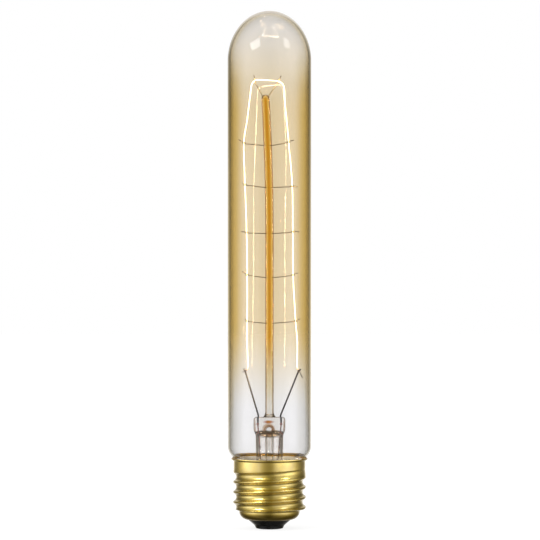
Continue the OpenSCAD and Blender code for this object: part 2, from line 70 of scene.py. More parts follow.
def makeCamera():
    half = picture["pixels"] / 2
    camera = bpy.data.cameras.new("camera")
    camera.sensor_width = picture["sensor"]
    camera.lens = picture["sensor"] * picture["distance"] / (picture["pixels"] * picture["scale"])
    camera.clip_start = 0.01
    cameraObject = bpy.data.objects.new("camera", camera)
    x = (half - picture["axisPixelX"]) * picture["scale"]
    z = (picture["contactPixelY"] - half) * picture["scale"]
    cameraObject.location = (x * mm, -picture["distance"] * mm, z * mm)
    cameraObject.rotation_euler = (math.radians(90), 0, 0)
    bpy.context.scene.collection.objects.link(cameraObject)
    bpy.context.scene.camera = cameraObject


makeCamera()
print("camera placed")


# Curves and profiles, all as numpy arrays
def unit(v):
    # each vector divided by its own length
    v = np.asarray(v, float)
    return v / np.linalg.norm(v, axis=-1, keepdims=True)


def smooth(x):
    # 0 up to x = 0, 1 from x = 1 on, and in between three times its square less twice its cube
    t = np.clip(x, 0, 1)
    return t * t * (3 - 2 * t)


def arc(centreR, centreZ, radius, start, stop, count):
    # equal angles on a circle in the plane of radius and height, in degrees
    a = np.radians(np.linspace(start, stop, count))
    return np.stack([centreR + radius * np.cos(a), centreZ + radius * np.sin(a)], axis=1)


def straight(start, stop, count):
    # equal steps on a straight line, both ends included
    return np.linspace(np.asarray(start, float), np.asarray(stop, float), count)


def spline(points, steps):
    # each span is a cubic through its two points that leaves along half the chord of its neighbours
    p = np.asarray(points, float)
    last = len(p) - 1
    i = np.arange(last)[:, None]
    t = (np.arange(steps) / steps)[None, :, None]
    a, b = p[i], p[i + 1]
    leaveA = (b - p[np.maximum(i - 1, 0)]) / 2
    leaveB = (p[np.minimum(i + 2, last)] - a) / 2
    curve = (2 * t**3 - 3 * t**2 + 1) * a + (t**3 - 2 * t**2 + t) * leaveA
    curve = curve + (3 * t**2 - 2 * t**3) * b + (t**3 - t**2) * leaveB
    return np.concatenate([curve.reshape(-1, p.shape[1]), p[-1:]])


def evenly(path, spacing):
    # the same line with points at equal distances, and each point's distance from the start
    length = np.concatenate([[0], np.cumsum(np.linalg.norm(np.diff(path, axis=0), axis=1))])
    s = np.linspace(0, length[-1], int(round(length[-1] / spacing)) + 1)
    return np.stack([np.interp(s, length, path[:, k]) for k in range(path.shape[1])], axis=1), s


def eyeTurn(centre, axis, way, radius, turn, rise, steps=28):
    # a circle round centre, square to axis, started and left heading along way, that climbs along axis
    across = unit(np.cross(axis, way))
    a = np.radians(np.linspace(0, turn, steps + 1))[:, None]
    climb = np.asarray(axis, float) * rise * (a / (2 * math.pi) - 0.5)
    return np.asarray(centre, float) + radius * (np.sin(a) * way - np.cos(a) * across) + climb


# Meshes from grids
weldDistance = 1e-8  # metres
sharpAngle = 50.0


def gridFaces(rows, columns, closedRows):
    # quads between neighbouring rows and columns; the columns always wrap round
    i = np.arange(rows if closedRows else rows - 1)[:, None]
    j = np.arange(columns)[None, :]
    up, on = (i + 1) % rows, (j + 1) % columns
    corners = [i * columns + j, i * columns + on, up * columns + on, up * columns + j]
    return np.stack(np.broadcast_arrays(*corners), axis=-1).reshape(-1, 4)


def skinMesh(points, closedRows, hollow):
    # one closed skin; its faces look outwards, or into the space where it is a hollow in glass
    faces = gridFaces(points.shape[0], points.shape[1], closedRows)
    mesh = bpy.data.meshes.new("skin")
    mesh.from_pydata((points.reshape(-1, 3) * mm).tolist(), [], faces.tolist())
    skin = bmesh.new()
    skin.from_mesh(mesh)
    bmesh.ops.remove_doubles(skin, verts=skin.verts, dist=weldDistance)
    if (skin.calc_volume(signed=True) < 0) != hollow:
        bmesh.ops.reverse_faces(skin, faces=skin.faces)
    skin.to_mesh(mesh)
    skin.free()
    return mesh


def makePiece(name, skins, material):
    # skins are (points, closedRows) pairs, and a third value of True marks a hollow
    whole = bmesh.new()
    for skin in skins:
        mesh = skinMesh(skin[0], skin[1], len(skin) > 2)
        whole.from_mesh(mesh)
        bpy.data.meshes.remove(mesh)
    mesh = bpy.data.meshes.new(name)
    whole.to_mesh(mesh)
    whole.free()
    mesh.polygons.foreach_set("use_smooth", np.ones(len(mesh.polygons), bool))
    mesh.set_sharp_from_angle(angle=math.radians(sharpAngle))
    mesh.materials.append(material)
    piece = bpy.data.objects.new(name + "_finished", mesh)
    bpy.context.scene.collection.objects.link(piece)
    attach(piece, "root")
    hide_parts(name)


def revolved(profile, sectors):
    # every point of a profile of radius and height turned round the Z axis
    a = np.linspace(0, 2 * math.pi, sectors, endpoint=False)[None, :]
    r, z = profile[:, :1], profile[:, 1:]
    return np.stack(np.broadcast_arrays(r * np.cos(a), r * np.sin(a), z), axis=-1)


def turnedPiece(name, profile, sectors, material, closed=True):
    # a closed profile runs round to its first point; another one has both its ends on the axis
    makePiece(name, [(revolved(profile, sectors), closed)], material)


def swept(path, radius, side, ringSides):
    # rings square to the path, begun at the side direction; each end closes in as a half sphere
    radius = np.broadcast_to(np.asarray(radius, float), (len(path),))
    heading = unit(np.gradient(path, axis=0))
    side = unit(side - np.sum(side * heading, axis=1, keepdims=True) * heading)
    close = np.radians([90, 60, 30])
    ends = ((len(close), len(close)), (0, 0))
    back = path[:1] - heading[:1] * radius[0] * np.sin(close)[:, None]
    ahead = path[-1:] + heading[-1:] * radius[-1] * np.sin(close[::-1])[:, None]
    path = np.concatenate([back, path, ahead])
    radius = np.concatenate([radius[0] * np.cos(close), radius, radius[-1] * np.cos(close[::-1])])
    heading = np.pad(heading, ends, "edge")
    side = np.pad(side, ends, "edge")
    up = np.cross(heading, side)
    a = np.linspace(0, 2 * math.pi, ringSides, endpoint=False)[None, :, None]
    return path[:, None] + radius[:, None, None] * (np.cos(a) * side[:, None] + np.sin(a) * up[:, None])


def wirePiece(name, path, radius, reference, material, ringSides=12):
    # a wire whose rings begin square to a direction that the path never takes
    path = np.asarray(path, float)
    side = np.cross(np.asarray(reference, float), unit(np.gradient(path, axis=0)))
    makePiece(name, [(swept(path, radius, side, ringSides), False)], material)


# Shader nodes: inputs are given by name or number, as constants or as another node's output; a colour is
# three numbers and always opaque
def addNode(tree, kind, inputs, **settings):
    node = tree.nodes.new("ShaderNode" + kind)
    for key, value in settings.items():
        setattr(node, key, value)
    for key, value in inputs.items():
        if isinstance(value, bpy.types.NodeSocket):
            tree.links.new(value, node.inputs[key])
        elif node.inputs[key].type == "RGBA":
            node.inputs[key].default_value = (*value, 1)
        else:
            node.inputs[key].default_value = value
    return node


def mixed(tree, factor, a, b, blend="MIX"):
    return addNode(tree, "Mix", {0: factor, 6: a, 7: b}, data_type="RGBA", blend_type=blend).outputs[2]


def mapped(tree, value, fromLow, fromHigh, toLow, toHigh):
    inputs = {0: value, 1: fromLow, 2: fromHigh, 3: toLow, 4: toHigh}
    return addNode(tree, "MapRange", inputs, interpolation_type="SMOOTHSTEP").outputs[0]


def maths(tree, operation, *values):
    return addNode(tree, "Math", dict(enumerate(values)), operation=operation).outputs[0]


def product(tree, a, b):
    return maths(tree, "MULTIPLY", a, b)


def vectorMaths(tree, operation, *values):
    # a length comes out as a number, and all else as a vector
    outputs = addNode(tree, "VectorMath", dict(enumerate(values)), operation=operation).outputs
    return outputs["Value" if operation == "LENGTH" else "Vector"]


def noise(tree, place, scale, detail):
    return addNode(tree, "TexNoise", {"Vector": place, "Scale": scale, "Detail": detail}).outputs[0]


def bumped(tree, relief, height):
    # relief is how high the bumps stand where the height is 1
    return addNode(tree, "Bump", {"Strength": 1.0, "Distance": relief * mm, "Height": height}).outputs[0]


def heightOf(tree, place):
    return addNode(tree, "SeparateXYZ", {0: place}).outputs["Z"]


def coloured(tree, value, stops):
    # stops are (position, colour) pairs
    node = addNode(tree, "ValToRGB", {0: value})
    band = node.color_ramp
    while len(band.elements) < len(stops):
        band.elements.new(0.5)
    for element, (position, colour) in zip(band.elements, stops):
        element.position = position
        element.color = (*colour, 1)
    return node.outputs[0]


def newGroup(name, inputs, outputs):
    group = bpy.data.node_groups.new(name, "ShaderNodeTree")
    for socketName, kind in inputs:
        group.interface.new_socket(socketName, in_out="INPUT", socket_type="NodeSocket" + kind)
    for socketName, kind in outputs:
        group.interface.new_socket(socketName, in_out="OUTPUT", socket_type="NodeSocket" + kind)
    start = group.nodes.new("NodeGroupInput")
    end = group.nodes.new("NodeGroupOutput")
    return group, start.outputs, end.inputs


def placeGroup(tree, group, inputs):
    return addNode(tree, "Group", inputs, node_tree=group).outputs


def emptyTree(owner):
    owner.use_nodes = True
    owner.node_tree.nodes.clear()
    return owner.node_tree


def newMaterial(name):
    material = bpy.data.materials.new(name)
    tree = emptyTree(material)
    place = addNode(tree, "TexCoord", {}).outputs["Object"]
    return material, tree, place


def show(tree, shader):
    addNode(tree, "OutputMaterial", {"Surface": shader})


def notMirrored(tree):
    # 1 until a ray has been mirrored by glass or metal
    depth = addNode(tree, "LightPath", {}).outputs["Glossy Depth"]
    return maths(tree, "LESS_THAN", depth, 0.5)


def makeMetalFinish():
    # drawn or rolled metal: fine grain that can be stretched, and broad patches where it was handled
    group, given, put = newGroup(
        "metalFinish",
        [
            ("Place", "Vector"),
            ("Grain stretch", "Vector"),
            ("Grain scale", "Float"),
            ("Patch scale", "Float"),
            ("Clean colour", "Color"),
            ("Dull colour", "Color"),
            ("Clean roughness", "Float"),
            ("Dull roughness", "Float"),
        ],
        [("Colour", "Color"), ("Roughness", "Float"), ("Relief", "Float")],
    )
    stretched = vectorMaths(group, "MULTIPLY", given["Place"], given["Grain stretch"])
    grain = noise(group, stretched, given["Grain scale"], 4)
    patch = noise(group, given["Place"], given["Patch scale"], 3)
    dull = mapped(group, patch, 0.42, 0.68, 0, 1)
    share = mapped(group, maths(group, "MULTIPLY_ADD", grain, 0.3, dull), 0.05, 1.2, 0, 1)
    ends = {3: given["Clean roughness"], 4: given["Dull roughness"]}
    rough = addNode(group, "MapRange", {0: share, **ends}).outputs[0]
    group.links.new(mixed(group, share, given["Clean colour"], given["Dull colour"]), put["Colour"])
    group.links.new(rough, put["Roughness"])
    group.links.new(grain, put["Relief"])
    return group


def makeAmberBand():
    # rises from 0 to 1 over the lower stretch of height and falls again over the upper one
    group, given, put = newGroup(
        "amberBand",
        [
            ("Place", "Vector"),
            ("Rise from", "Float"),
            ("Rise to", "Float"),
            ("Fall from", "Float"),
            ("Fall to", "Float"),
            ("Top amount", "Float"),
        ],
        [("Amount", "Float")],
    )
    height = heightOf(group, given["Place"])
    rise = mapped(group, height, given["Rise from"], given["Rise to"], 0, 1)
    fall = mapped(group, height, given["Fall from"], given["Fall to"], 1, given["Top amount"])
    group.links.new(product(group, rise, fall), put["Amount"])
    return group


metalFinish = makeMetalFinish()
amberBand = makeAmberBand()

# Heights over which the envelope's glass turns amber and clears again, and what is left of it in the dome
amber = {"riseFrom": 41.0, "riseTo": 75.0, "fallFrom": 146.0, "fallTo": 184.0, "top": 0.2}
# Heights between which the painted edge shade of the glass, and the coat's deepening aslant, fade: up in
# the dome down to nothing, and down in the shoulder to a small share
aslantFade = {"domeFrom": 158.0, "domeTo": 177.0, "shoulderFrom": 24.0, "shoulderTo": 30.0, "share": 0.1}
glassFinish = {
    "ior": 1.5,
    "hazeScale": 140,
    "hazeRoughness": 0.02,
    "shadow": (0.9, 0.88, 0.82),  # what the glass lets through on the way to a shadow
}


def amberAmount(tree, place, band=amber):
    inputs = {
        "Place": place,
        "Rise from": band["riseFrom"] * mm,
        "Rise to": band["riseTo"] * mm,
        "Fall from": band["fallFrom"] * mm,
        "Fall to": band["fallTo"] * mm,
        "Top amount": band["top"],
    }
    return placeGroup(tree, amberBand, inputs)["Amount"]


def aslantShare(tree, place):
    # the painted edge shade and the coat's deepening aslant fade out in the dome, and to a small share in
    # the shoulder
    height = heightOf(tree, place)
    top = mapped(tree, height, aslantFade["domeFrom"] * mm, aslantFade["domeTo"] * mm, 1.0, 0.0)
    ends = (aslantFade["shoulderFrom"] * mm, aslantFade["shoulderTo"] * mm)
    return product(tree, top, mapped(tree, height, *ends, aslantFade["share"], 1.0))


def clearGlass(name, tintOf, paintedEdgeStops, waveScale, waveHeight, gloss=1.0):
    # the glass is painted darker with the slant that it is looked at, as painted shade for the dark edges
    # that bent light shows, but not for what it lets through to a matt surface; light that passes through
    # on its way to a shadow isn't bent
    material, tree, place = newMaterial(name)
    facing = addNode(tree, "LayerWeight", {"Blend": 0.5}).outputs["Facing"]
    edge = coloured(tree, facing, paintedEdgeStops)
    scattered = addNode(tree, "LightPath", {}).outputs["Diffuse Depth"]
    paintedEdgeShare = product(tree, aslantShare(tree, place), maths(tree, "LESS_THAN", scattered, 0.5))
    haze = noise(tree, place, glassFinish["hazeScale"], 4)
    inputs = {
        "Base Color": mixed(tree, paintedEdgeShare, tintOf(tree, place, facing), edge, "MULTIPLY"),
        "Roughness": mapped(tree, haze, 0.45, 0.8, 0.0, glassFinish["hazeRoughness"]),
        "IOR": glassFinish["ior"],
        "Transmission Weight": 1.0,
        "Specular Tint": (gloss, gloss, gloss),
        "Normal": bumped(tree, waveHeight, noise(tree, place, waveScale, 2)),
    }
    glass = addNode(tree, "BsdfPrincipled", inputs).outputs[0]
    through = addNode(tree, "BsdfTransparent", {"Color": glassFinish["shadow"]}).outputs[0]
    shadow = addNode(tree, "LightPath", {}).outputs["Is Shadow Ray"]
    show(tree, addNode(tree, "MixShader", {0: shadow, 1: glass, 2: through}).outputs[0])
    return material


def metal(name, look, metallic=1.0, adjust=None):
    # rim is the tint of the gloss where the surface is seen aslant; adjust may change the shader's inputs
    material, tree, place = newMaterial(name)
    given = {
        "Place": place,
        "Grain stretch": look.get("stretch", (1, 1, 1)),
        "Grain scale": look["grain"],
        "Patch scale": look["patch"],
        "Clean colour": look["clean"],
        "Dull colour": look["dull"],
        "Clean roughness": look["roughness"][0],
        "Dull roughness": look["roughness"][1],
    }
    finish = placeGroup(tree, metalFinish, given)
    inputs = {
        "Base Color": finish["Colour"],
        "Roughness": finish["Roughness"],
        "Metallic": metallic,
        "Specular Tint": look.get("rim", (1, 1, 1)),
        "Normal": bumped(tree, look["relief"], finish["Relief"]),
    }
    if adjust:
        adjust(tree, place, inputs)
    show(tree, addNode(tree, "BsdfPrincipled", inputs).outputs[0])
    return material


# Envelope: domed tube of blown glass, drawn in at the shoulder to a neck inside the cap
envelope = {
    "radius": 15.0,
    "height": 186.0,
    "domeHeight": 18.0,
    "wall": 0.85,
    "shoulderRadius": 5.4,
    "waistRadius": 3.0,
    "neckRadius": 11.0,
    "neckBottom": 13.7,
    "sectors": 160,
}
# The cap's sizes stand here too, because the envelope's shoulder rests over its lip
cap = {
    "threadRadius": 13.075,
    "threadDepth": 1.09,
    "crestShare": 0.24,  # how much of a turn's flank curves outwards, the rest curving inwards
    "pitch": 3.629,
    "fadeFrom": 2.8,  # the groove fades out between these two depths below the skirt
    "fadeTo": 1.2,
    "height": 25.3,
    "skirtHeight": 3.5,
    "skirtRadius": 12.9,
    "lipOut": 0.8,
    "wall": 0.3,
    "footRadius": 10.9,
    "footHeight": 6.4,
    "footRound": 3.1,
    "firstCrest": 1.3,  # the first crest on the right above the foot's edge
    "stepHeight": 0.9,  # the step from the foot out to the first crest
    "lipHollow": 0.3,
    "lipEdge": 0.2,
    "lipAir": 0.56,  # from the lip up to the glass above its inner edge
    "fit": 0.04,  # clearance between two pieces
    "sectors": 120,
}
# Black glass and contact in the cap's foot
base = {
    "contactRadius": 4.4,
    "contactThickness": 0.5,
    "contactEdge": 0.2,
    "contactOut": 0.15,
    "dimpleRadius": 1.8,
    "dimpleWall": 0.2,
    "neckRadius": 1.5,
    "neckHeight": 2.0,
    "neckWall": 0.3,
    "insulatorHeight": 6.2,
    "rimWidth": 0.5,
    "rimRound": 0.12,
    "coneWidth": 0.5,
    "coneHeight": 1.1,
}
lipEdgeRadius = cap["skirtRadius"] + cap["lipOut"] - cap["wall"]
shoulderX = envelope["radius"] - envelope["shoulderRadius"]
aboveLip = math.sqrt(envelope["shoulderRadius"] ** 2 - (lipEdgeRadius - shoulderX) ** 2)
shoulderZ = cap["height"] + cap["lipAir"] + aboveLip
waistX = envelope["neckRadius"] + envelope["waistRadius"]
bothArcs = envelope["shoulderRadius"] + envelope["waistRadius"]
shoulderTurn = math.degrees(math.acos((waistX - shoulderX) / bothArcs))
waistZ = shoulderZ - bothArcs * math.sin(math.radians(shoulderTurn))

# The envelope's colours where its glass is bare and where it is coated, seen straight on and aslant
coat = {
    "front": (0.96, 0.865, 0.69),
    "frontDeeper": (0.95, 0.845, 0.65),
    "aslant": (0.92, 0.69, 0.235),
    "bare": (0.97, 0.965, 0.965),
    "bareAslant": (0.95, 0.84, 0.62),
    "aslantFrom": 33.0,  # between these two heights the bare glass takes its tint aslant
    "aslantTo": 47.0,
    "smoky": (0.86, 0.855, 0.862),
    "smokyFrom": 162.0,
    "smokyTo": 171.0,
    "drift": 22,
}


def envelopeLine(inset):
    # a quarter of an ellipse for the dome, straight down the tube, then two arcs that touch for shoulder
    # and waist, all set in by the same amount
    domeZ = envelope["height"] - envelope["domeHeight"]
    radius = envelope["radius"] - inset
    a = np.radians(np.linspace(90, 0, 40))
    dome = np.stack([radius * np.cos(a), domeZ + (envelope["domeHeight"] - inset) * np.sin(a)], axis=1)
    tube = straight(dome[-1], (radius, shoulderZ), 30)[1:-1]
    shoulder = arc(shoulderX, shoulderZ, envelope["shoulderRadius"] - inset, 0, -shoulderTurn, 24)
    waist = arc(waistX, waistZ, envelope["waistRadius"] + inset, 180 - shoulderTurn, 180, 12)[1:]
    return np.concatenate([dome, tube, shoulder, waist])


def envelopeTint(tree, place, facing):
    # the coat thins unevenly, so its amber drifts a little up and down the tube, and it looks deeper aslant
    height = heightOf(tree, place)
    drift = mapped(tree, noise(tree, place, coat["drift"], 1), 0.3, 0.7, 0, 1)
    front = mixed(tree, drift, coat["front"], coat["frontDeeper"])
    thick = product(tree, mapped(tree, facing, 0.15, 0.5, 0, 1), aslantShare(tree, place))
    coated = mixed(tree, thick, front, coat["aslant"])
    # bare glass looks warm only where it is seen well aslant, and it is a little smoky in the dome
    smoky = mapped(tree, height, coat["smokyFrom"] * mm, coat["smokyTo"] * mm, 0, 1)
    bare = mixed(tree, smoky, coat["bare"], coat["smoky"])
    high = mapped(tree, height, coat["aslantFrom"] * mm, coat["aslantTo"] * mm, 0, 1)
    aslant = product(tree, mapped(tree, facing, 0.45, 0.75, 0, 1), high)
    bare = mixed(tree, aslant, bare, coat["bareAslant"])
    return mixed(tree, amberAmount(tree, place), bare, coated)


# Painted edge shade: colours go from glass that is looked at straight on, at 0, to glass that is looked
# along, at 1; the dark steps stand in for the dark lines that bent light shows along the edges
envelopePaintedEdges = [
    (0.0, (0.905, 0.905, 0.905)),
    (0.1, (0.9, 0.9, 0.9)),
    (0.26, (0.87, 0.87, 0.87)),
    (0.36, (0.855, 0.855, 0.855)),
    (0.46, (0.84, 0.84, 0.835)),
    (0.53, (0.825, 0.823, 0.815)),
    (0.58, (0.76, 0.755, 0.74)),
    (0.64, (0.56, 0.55, 0.53)),
    (0.72, (0.5, 0.49, 0.47)),
    (0.85, (0.34, 0.335, 0.32)),
    (0.96, (0.8, 0.79, 0.77)),
]
envelopeGlass = clearGlass("envelopeGlass", envelopeTint, envelopePaintedEdges, 45, 0.03, gloss=0.5)


def makeEnvelope():
    # the line outside, a half circle at the neck's foot, and the line set in by the wall
    wall = envelope["wall"]
    foot = arc(envelope["neckRadius"] - wall / 2, envelope["neckBottom"] + wall / 2, wall / 2, 0, -180, 9)
    profile = np.concatenate([envelopeLine(0), foot, envelopeLine(wall)[::-1]])
    turnedPiece("glass_envelope", profile, envelope["sectors"], envelopeGlass, False)


makeEnvelope()
print("envelope made")


# Stem: flare tube, press, exhaust tube and the long rod, all in clear glass
stem = {
    "flareRadius": 4.95,
    "flareWall": 0.9,
    "flareTop": 33.0,
    "flareFoot": 6.3,
    "pressWidth": 11.4,
    "pressThickness": 4.5,
    "pressHeight": 7.1,
    "pressEdge": 1.1,
    "flattenOver": 2.9,  # height in which the round tube turns into a slab with squarer sides
    "squeezeOver": 2.2,
    "squareness": 1.2,
    "cupHeight": 1.9,
    "cupWiden": 0.35,
    "cupSqueeze": 1.5,
    "cupBelly": 1.3,
    "blowDiameter": 2.2,
    "blowHeight": 2.3,
    "blowSkin": 0.25,  # glass left at either end of the blow hole
    "blowFlare": 0.7,
    "exhaustRadius": 1.6,
    "exhaustBore": 0.9,
    "exhaustTip": 8.5,
    "exhaustTop": 34.6,
}
rod = {
    "radius": 1.5,
    "height": 115.8,
    "straight": 66.0,
    "lean": 1.45,
    "footRows": 2.4,  # height of the rings that stand closer together
    "evenFrom": 4.9,
    "swell": 0.75,
    "swellHeight": 0.7,
    "ripple": 0.015,
}
pressTop = stem["flareTop"] + stem["pressHeight"]
rodTop = pressTop + rod["height"]
bendZ = pressTop + rod["straight"]
bendHeight = rod["height"] - rod["straight"] - rod["radius"]
bendRadius = (bendHeight**2 + rod["lean"] ** 2) / (2 * rod["lean"])


def rodX(z):
    # straight from the press, then a long arc that leans to the left
    climb = np.clip(z - bendZ, 0, bendHeight)
    return np.sqrt(bendRadius**2 - climb**2) - bendRadius


frontDepth = 1.5  # how deep a mark on the front of the press goes
# Painted shade and painted highlights in the press, each an ellipse seen from the front; later ones lie on
# top.
# Dark sides, a dark band at the cavity's end, a brown rim round the blow hole and a dark orange spot are
# painted shade; a cream line and the blow hole's white middle are painted highlights
pressPaintedLight = (
    {"x": -5.4, "z": 36.4, "halfWidth": 0.55, "halfHeight": 3.3, "soft": 0.3, "colour": (0.4, 0.27, 0.18)},
    {"x": 5.4, "z": 36.4, "halfWidth": 0.55, "halfHeight": 3.3, "soft": 0.3, "colour": (0.3, 0.19, 0.12)},
    {"x": 0.0, "z": 34.3, "halfWidth": 4.6, "halfHeight": 1.2, "soft": 0.25, "colour": (0.34, 0.2, 0.08)},
    {"x": 0.2, "z": 33.9, "halfWidth": 3.1, "halfHeight": 0.35, "soft": 0.5, "colour": (0.98, 0.82, 0.6)},
    {"x": -0.3, "z": 35.8, "halfWidth": 2.1, "halfHeight": 2.0, "soft": 0.2, "colour": (0.66, 0.48, 0.34)},
    {"x": -0.3, "z": 35.6, "halfWidth": 1.1, "halfHeight": 1.0, "soft": 0.2, "colour": (1.0, 1.0, 1.0)},
    {
        "x": -0.3,
        "z": 38.4,
        "halfWidth": 1.7,
        "halfHeight": 0.55,
        "soft": 0.5,
        "colour": (0.35, 0.05, 0.0),
        "front": True,
    },
)


def markAmount(tree, place, mark):
    # 1 inside the ellipse, 0 outside; a mark goes right through the press unless it lies on the front only
    deep = 1 / (frontDepth * mm) if "front" in mark else 0
    size = (1 / (mark["halfWidth"] * mm), deep, 1 / (mark["halfHeight"] * mm))
    middle = (mark["x"] * mm, -stem["pressThickness"] / 2 * mm, mark["z"] * mm)
    away = vectorMaths(tree, "SUBTRACT", place, middle)
    reach = vectorMaths(tree, "LENGTH", vectorMaths(tree, "MULTIPLY", away, size))
    return mapped(tree, reach, 1 - mark["soft"], 1 + mark["soft"], 1, 0)


def stemTint(tree, place, facing):
    # warmer where the filament's light comes down through the glass
    low, high = stem["flareTop"] - 9, stem["flareTop"] + 7
    warm = mapped(tree, heightOf(tree, place), low * mm, high * mm, 0, 1)
    tint = mixed(tree, warm, (0.97, 0.965, 0.96), (0.96, 0.94, 0.91))
    # the press's painted shade and painted highlights lie over the glass's own tint
    for mark in pressPaintedLight:
        tint = mixed(tree, markAmount(tree, place, mark), tint, mark["colour"])
    return tint


# The stem's painted edge shade, going down to near black along its edges
stemPaintedEdges = [
    (0.0, (0.98, 0.98, 0.98)),
    (0.2, (0.95, 0.94, 0.93)),
    (0.36, (0.86, 0.83, 0.79)),
    (0.46, (0.7, 0.62, 0.54)),
    (0.54, (0.18, 0.12, 0.08)),
    (0.7, (0.03, 0.02, 0.012)),
]
stemGlass = clearGlass("stemGlass", stemTint, stemPaintedEdges, 160, 0.03)

# The rod's painted edge shade, and the colours by slant of its clear and amber parts: dark edges are
# painted shade, and in the amber part a pale streak inside each edge is a painted highlight
rodPaintedEdges = [(0.0, (0.98, 0.98, 0.98)), (0.5, (0.85, 0.82, 0.78)), (0.8, (0.6, 0.52, 0.44))]
rodClearPaintedEdges = [
    (0.0, (0.9, 0.87, 0.8)),
    (0.16, (0.88, 0.84, 0.76)),
    (0.25, (0.55, 0.44, 0.31)),
    (0.34, (0.32, 0.22, 0.12)),
    (0.6, (0.22, 0.14, 0.08)),
]
rodAmberPaintedLight = [
    (0.0, (0.8, 0.43, 0.015)),
    (0.05, (0.87, 0.52, 0.05)),
    (0.1, (1.0, 0.8, 0.3)),
    (0.2, (1.0, 0.92, 0.55)),
    (0.3, (0.8, 0.42, 0.15)),
    (0.45, (0.5, 0.2, 0.07)),
]


def rodTint(tree, place, facing):
    # gold where the rod stands in the amber part of the tube, and pale gold just below it
    gold = dict(amber, riseFrom=52.0, riseTo=70.0, fallFrom=rodTop + 10, fallTo=rodTop + 20)
    pale = dict(gold, riseFrom=42.0, riseTo=54.0)
    clear = coloured(tree, facing, rodClearPaintedEdges)
    paler = mixed(tree, amberAmount(tree, place, pale), (1, 1, 1), (0.97, 0.88, 0.64))
    low = mixed(tree, 1.0, clear, paler, "MULTIPLY")
    return mixed(tree, amberAmount(tree, place, gold), low, coloured(tree, facing, rodAmberPaintedLight))


rodGlass = clearGlass("rodGlass", rodTint, rodPaintedEdges, 120, 0.02)


def makeFlare():
    # the tube's foot opens out along a quarter of an ellipse until it meets the neck
    rim = envelope["neckRadius"] - envelope["wall"] - cap["fit"]
    start = envelope["neckBottom"] + stem["flareWall"] + stem["flareFoot"]
    a = np.radians(np.linspace(0, 90, 30))

    def line(r, drop):
        return np.stack([r + (rim - r) * (1 - np.cos(a)), start - drop * np.sin(a)], axis=1)

    bore = stem["flareRadius"] - stem["flareWall"]
    outer = line(stem["flareRadius"], stem["flareFoot"])
    inner = line(bore, stem["flareFoot"] + stem["flareWall"])
    tubeOuter = straight((stem["flareRadius"], stem["flareTop"]), outer[0], 14)[:-1]
    tubeInner = straight(inner[0], (bore, stem["flareTop"]), 14)[1:]
    profile = np.concatenate([tubeOuter, outer, inner[::-1], tubeInner])
    turnedPiece("stem_flare", profile, 96, stemGlass)


def pressSkin():
    # cross-sections are superellipses: a circle on the flare tube, then a flat slab, closed by a round top;
    # inside them the flare tube's bore runs on as a shallow cup
    slabRows, topRows = 22, 12
    edge = stem["pressEdge"]
    halfWidth, halfDepth = stem["pressWidth"] / 2, stem["pressThickness"] / 2
    z = np.linspace(0, stem["pressHeight"] - edge, slabRows)
    flat = np.pad(smooth(z / stem["flattenOver"]), (0, topRows), "edge")
    squeeze = np.pad(smooth(z / stem["squeezeOver"]), (0, topRows), "edge")
    top = np.radians(np.linspace(8, 90, topRows))
    z = np.concatenate([z, stem["pressHeight"] - edge + edge * np.sin(top)])
    inset = np.concatenate([np.zeros(slabRows), edge * (1 - np.cos(top))])
    # the last row closes in to one point
    shrink = np.concatenate([np.ones(slabRows + topRows - 1), [0.0]])
    a = (stem["flareRadius"] + (halfWidth - stem["flareRadius"]) * flat - inset) * shrink
    b = (stem["flareRadius"] + (halfDepth - stem["flareRadius"]) * squeeze - inset) * shrink
    power = 2 / (2 + stem["squareness"] * flat)
    turn = np.linspace(0, 2 * math.pi, 96, endpoint=False)[None, :]
    c, s = np.cos(turn), np.sin(turn)

    def section(a, b, power, z):
        x = a[:, None] * np.sign(c) * np.abs(c) ** power[:, None]
        y = b[:, None] * np.sign(s) * np.abs(s) ** power[:, None]
        return np.stack(np.broadcast_arrays(x, y, z[:, None]), axis=-1)

    outer = section(a, b, power, stem["flareTop"] + z)
    bore = stem["flareRadius"] - stem["flareWall"] + stem["cupWiden"]
    cup = np.radians(np.linspace(0, 90, 12))
    cupDepth = (bore - stem["cupSqueeze"]) * np.cos(cup) + stem["cupBelly"] * np.cos(cup) * np.cos(cup)
    cupZ = stem["flareTop"] + stem["cupHeight"] * np.sin(cup)
    inner = section(bore * np.cos(cup), cupDepth, np.ones(12), cupZ)
    return np.concatenate([outer[::-1], inner]), False


def blowHole():
    # a cylinder across the press that flares towards both ends, the way by which the air was drawn out
    r = stem["blowDiameter"] / 2
    depth = stem["pressThickness"] / 2 - stem["blowSkin"]
    y = np.concatenate([[-depth], np.linspace(-depth, depth, 10), [depth]])
    opened = np.concatenate([[0], np.ones(10), [0]])
    flare = 1 + stem["blowFlare"] * (y / depth) ** 4
    a = np.linspace(0, 2 * math.pi, 28, endpoint=False)[None, :]
    x = r * (opened * flare)[:, None] * np.cos(a)
    up = r * (opened * flare)[:, None] * np.sin(a)
    z = stem["flareTop"] + stem["blowHeight"] + up
    return np.stack(np.broadcast_arrays(x, y[:, None], z), axis=-1), False, True


def makeExhaust():
    # a tube whose foot is closed by a quarter of an ellipse outside and of a circle inside
    r, bore = stem["exhaustRadius"], stem["exhaustBore"]
    tipHeight = 1.6 * r
    a = np.radians(np.linspace(0, 90, 14))
    tip = np.stack([r * np.sin(a), stem["exhaustTip"] + tipHeight * (1 - np.cos(a))], axis=1)
    hollow = np.stack([bore * np.sin(a), stem["exhaustTip"] + tipHeight + bore * (1 - np.cos(a))], axis=1)
    outer = straight(tip[-1], (r, stem["exhaustTop"]), 24)[1:]
    inner = straight((bore, stem["exhaustTop"]), hollow[-1], 24)[:-1]
    profile = np.concatenate([tip, outer, inner, hollow[::-1]])
    turnedPiece("exhaust_tube", profile, 48, stemGlass, False)


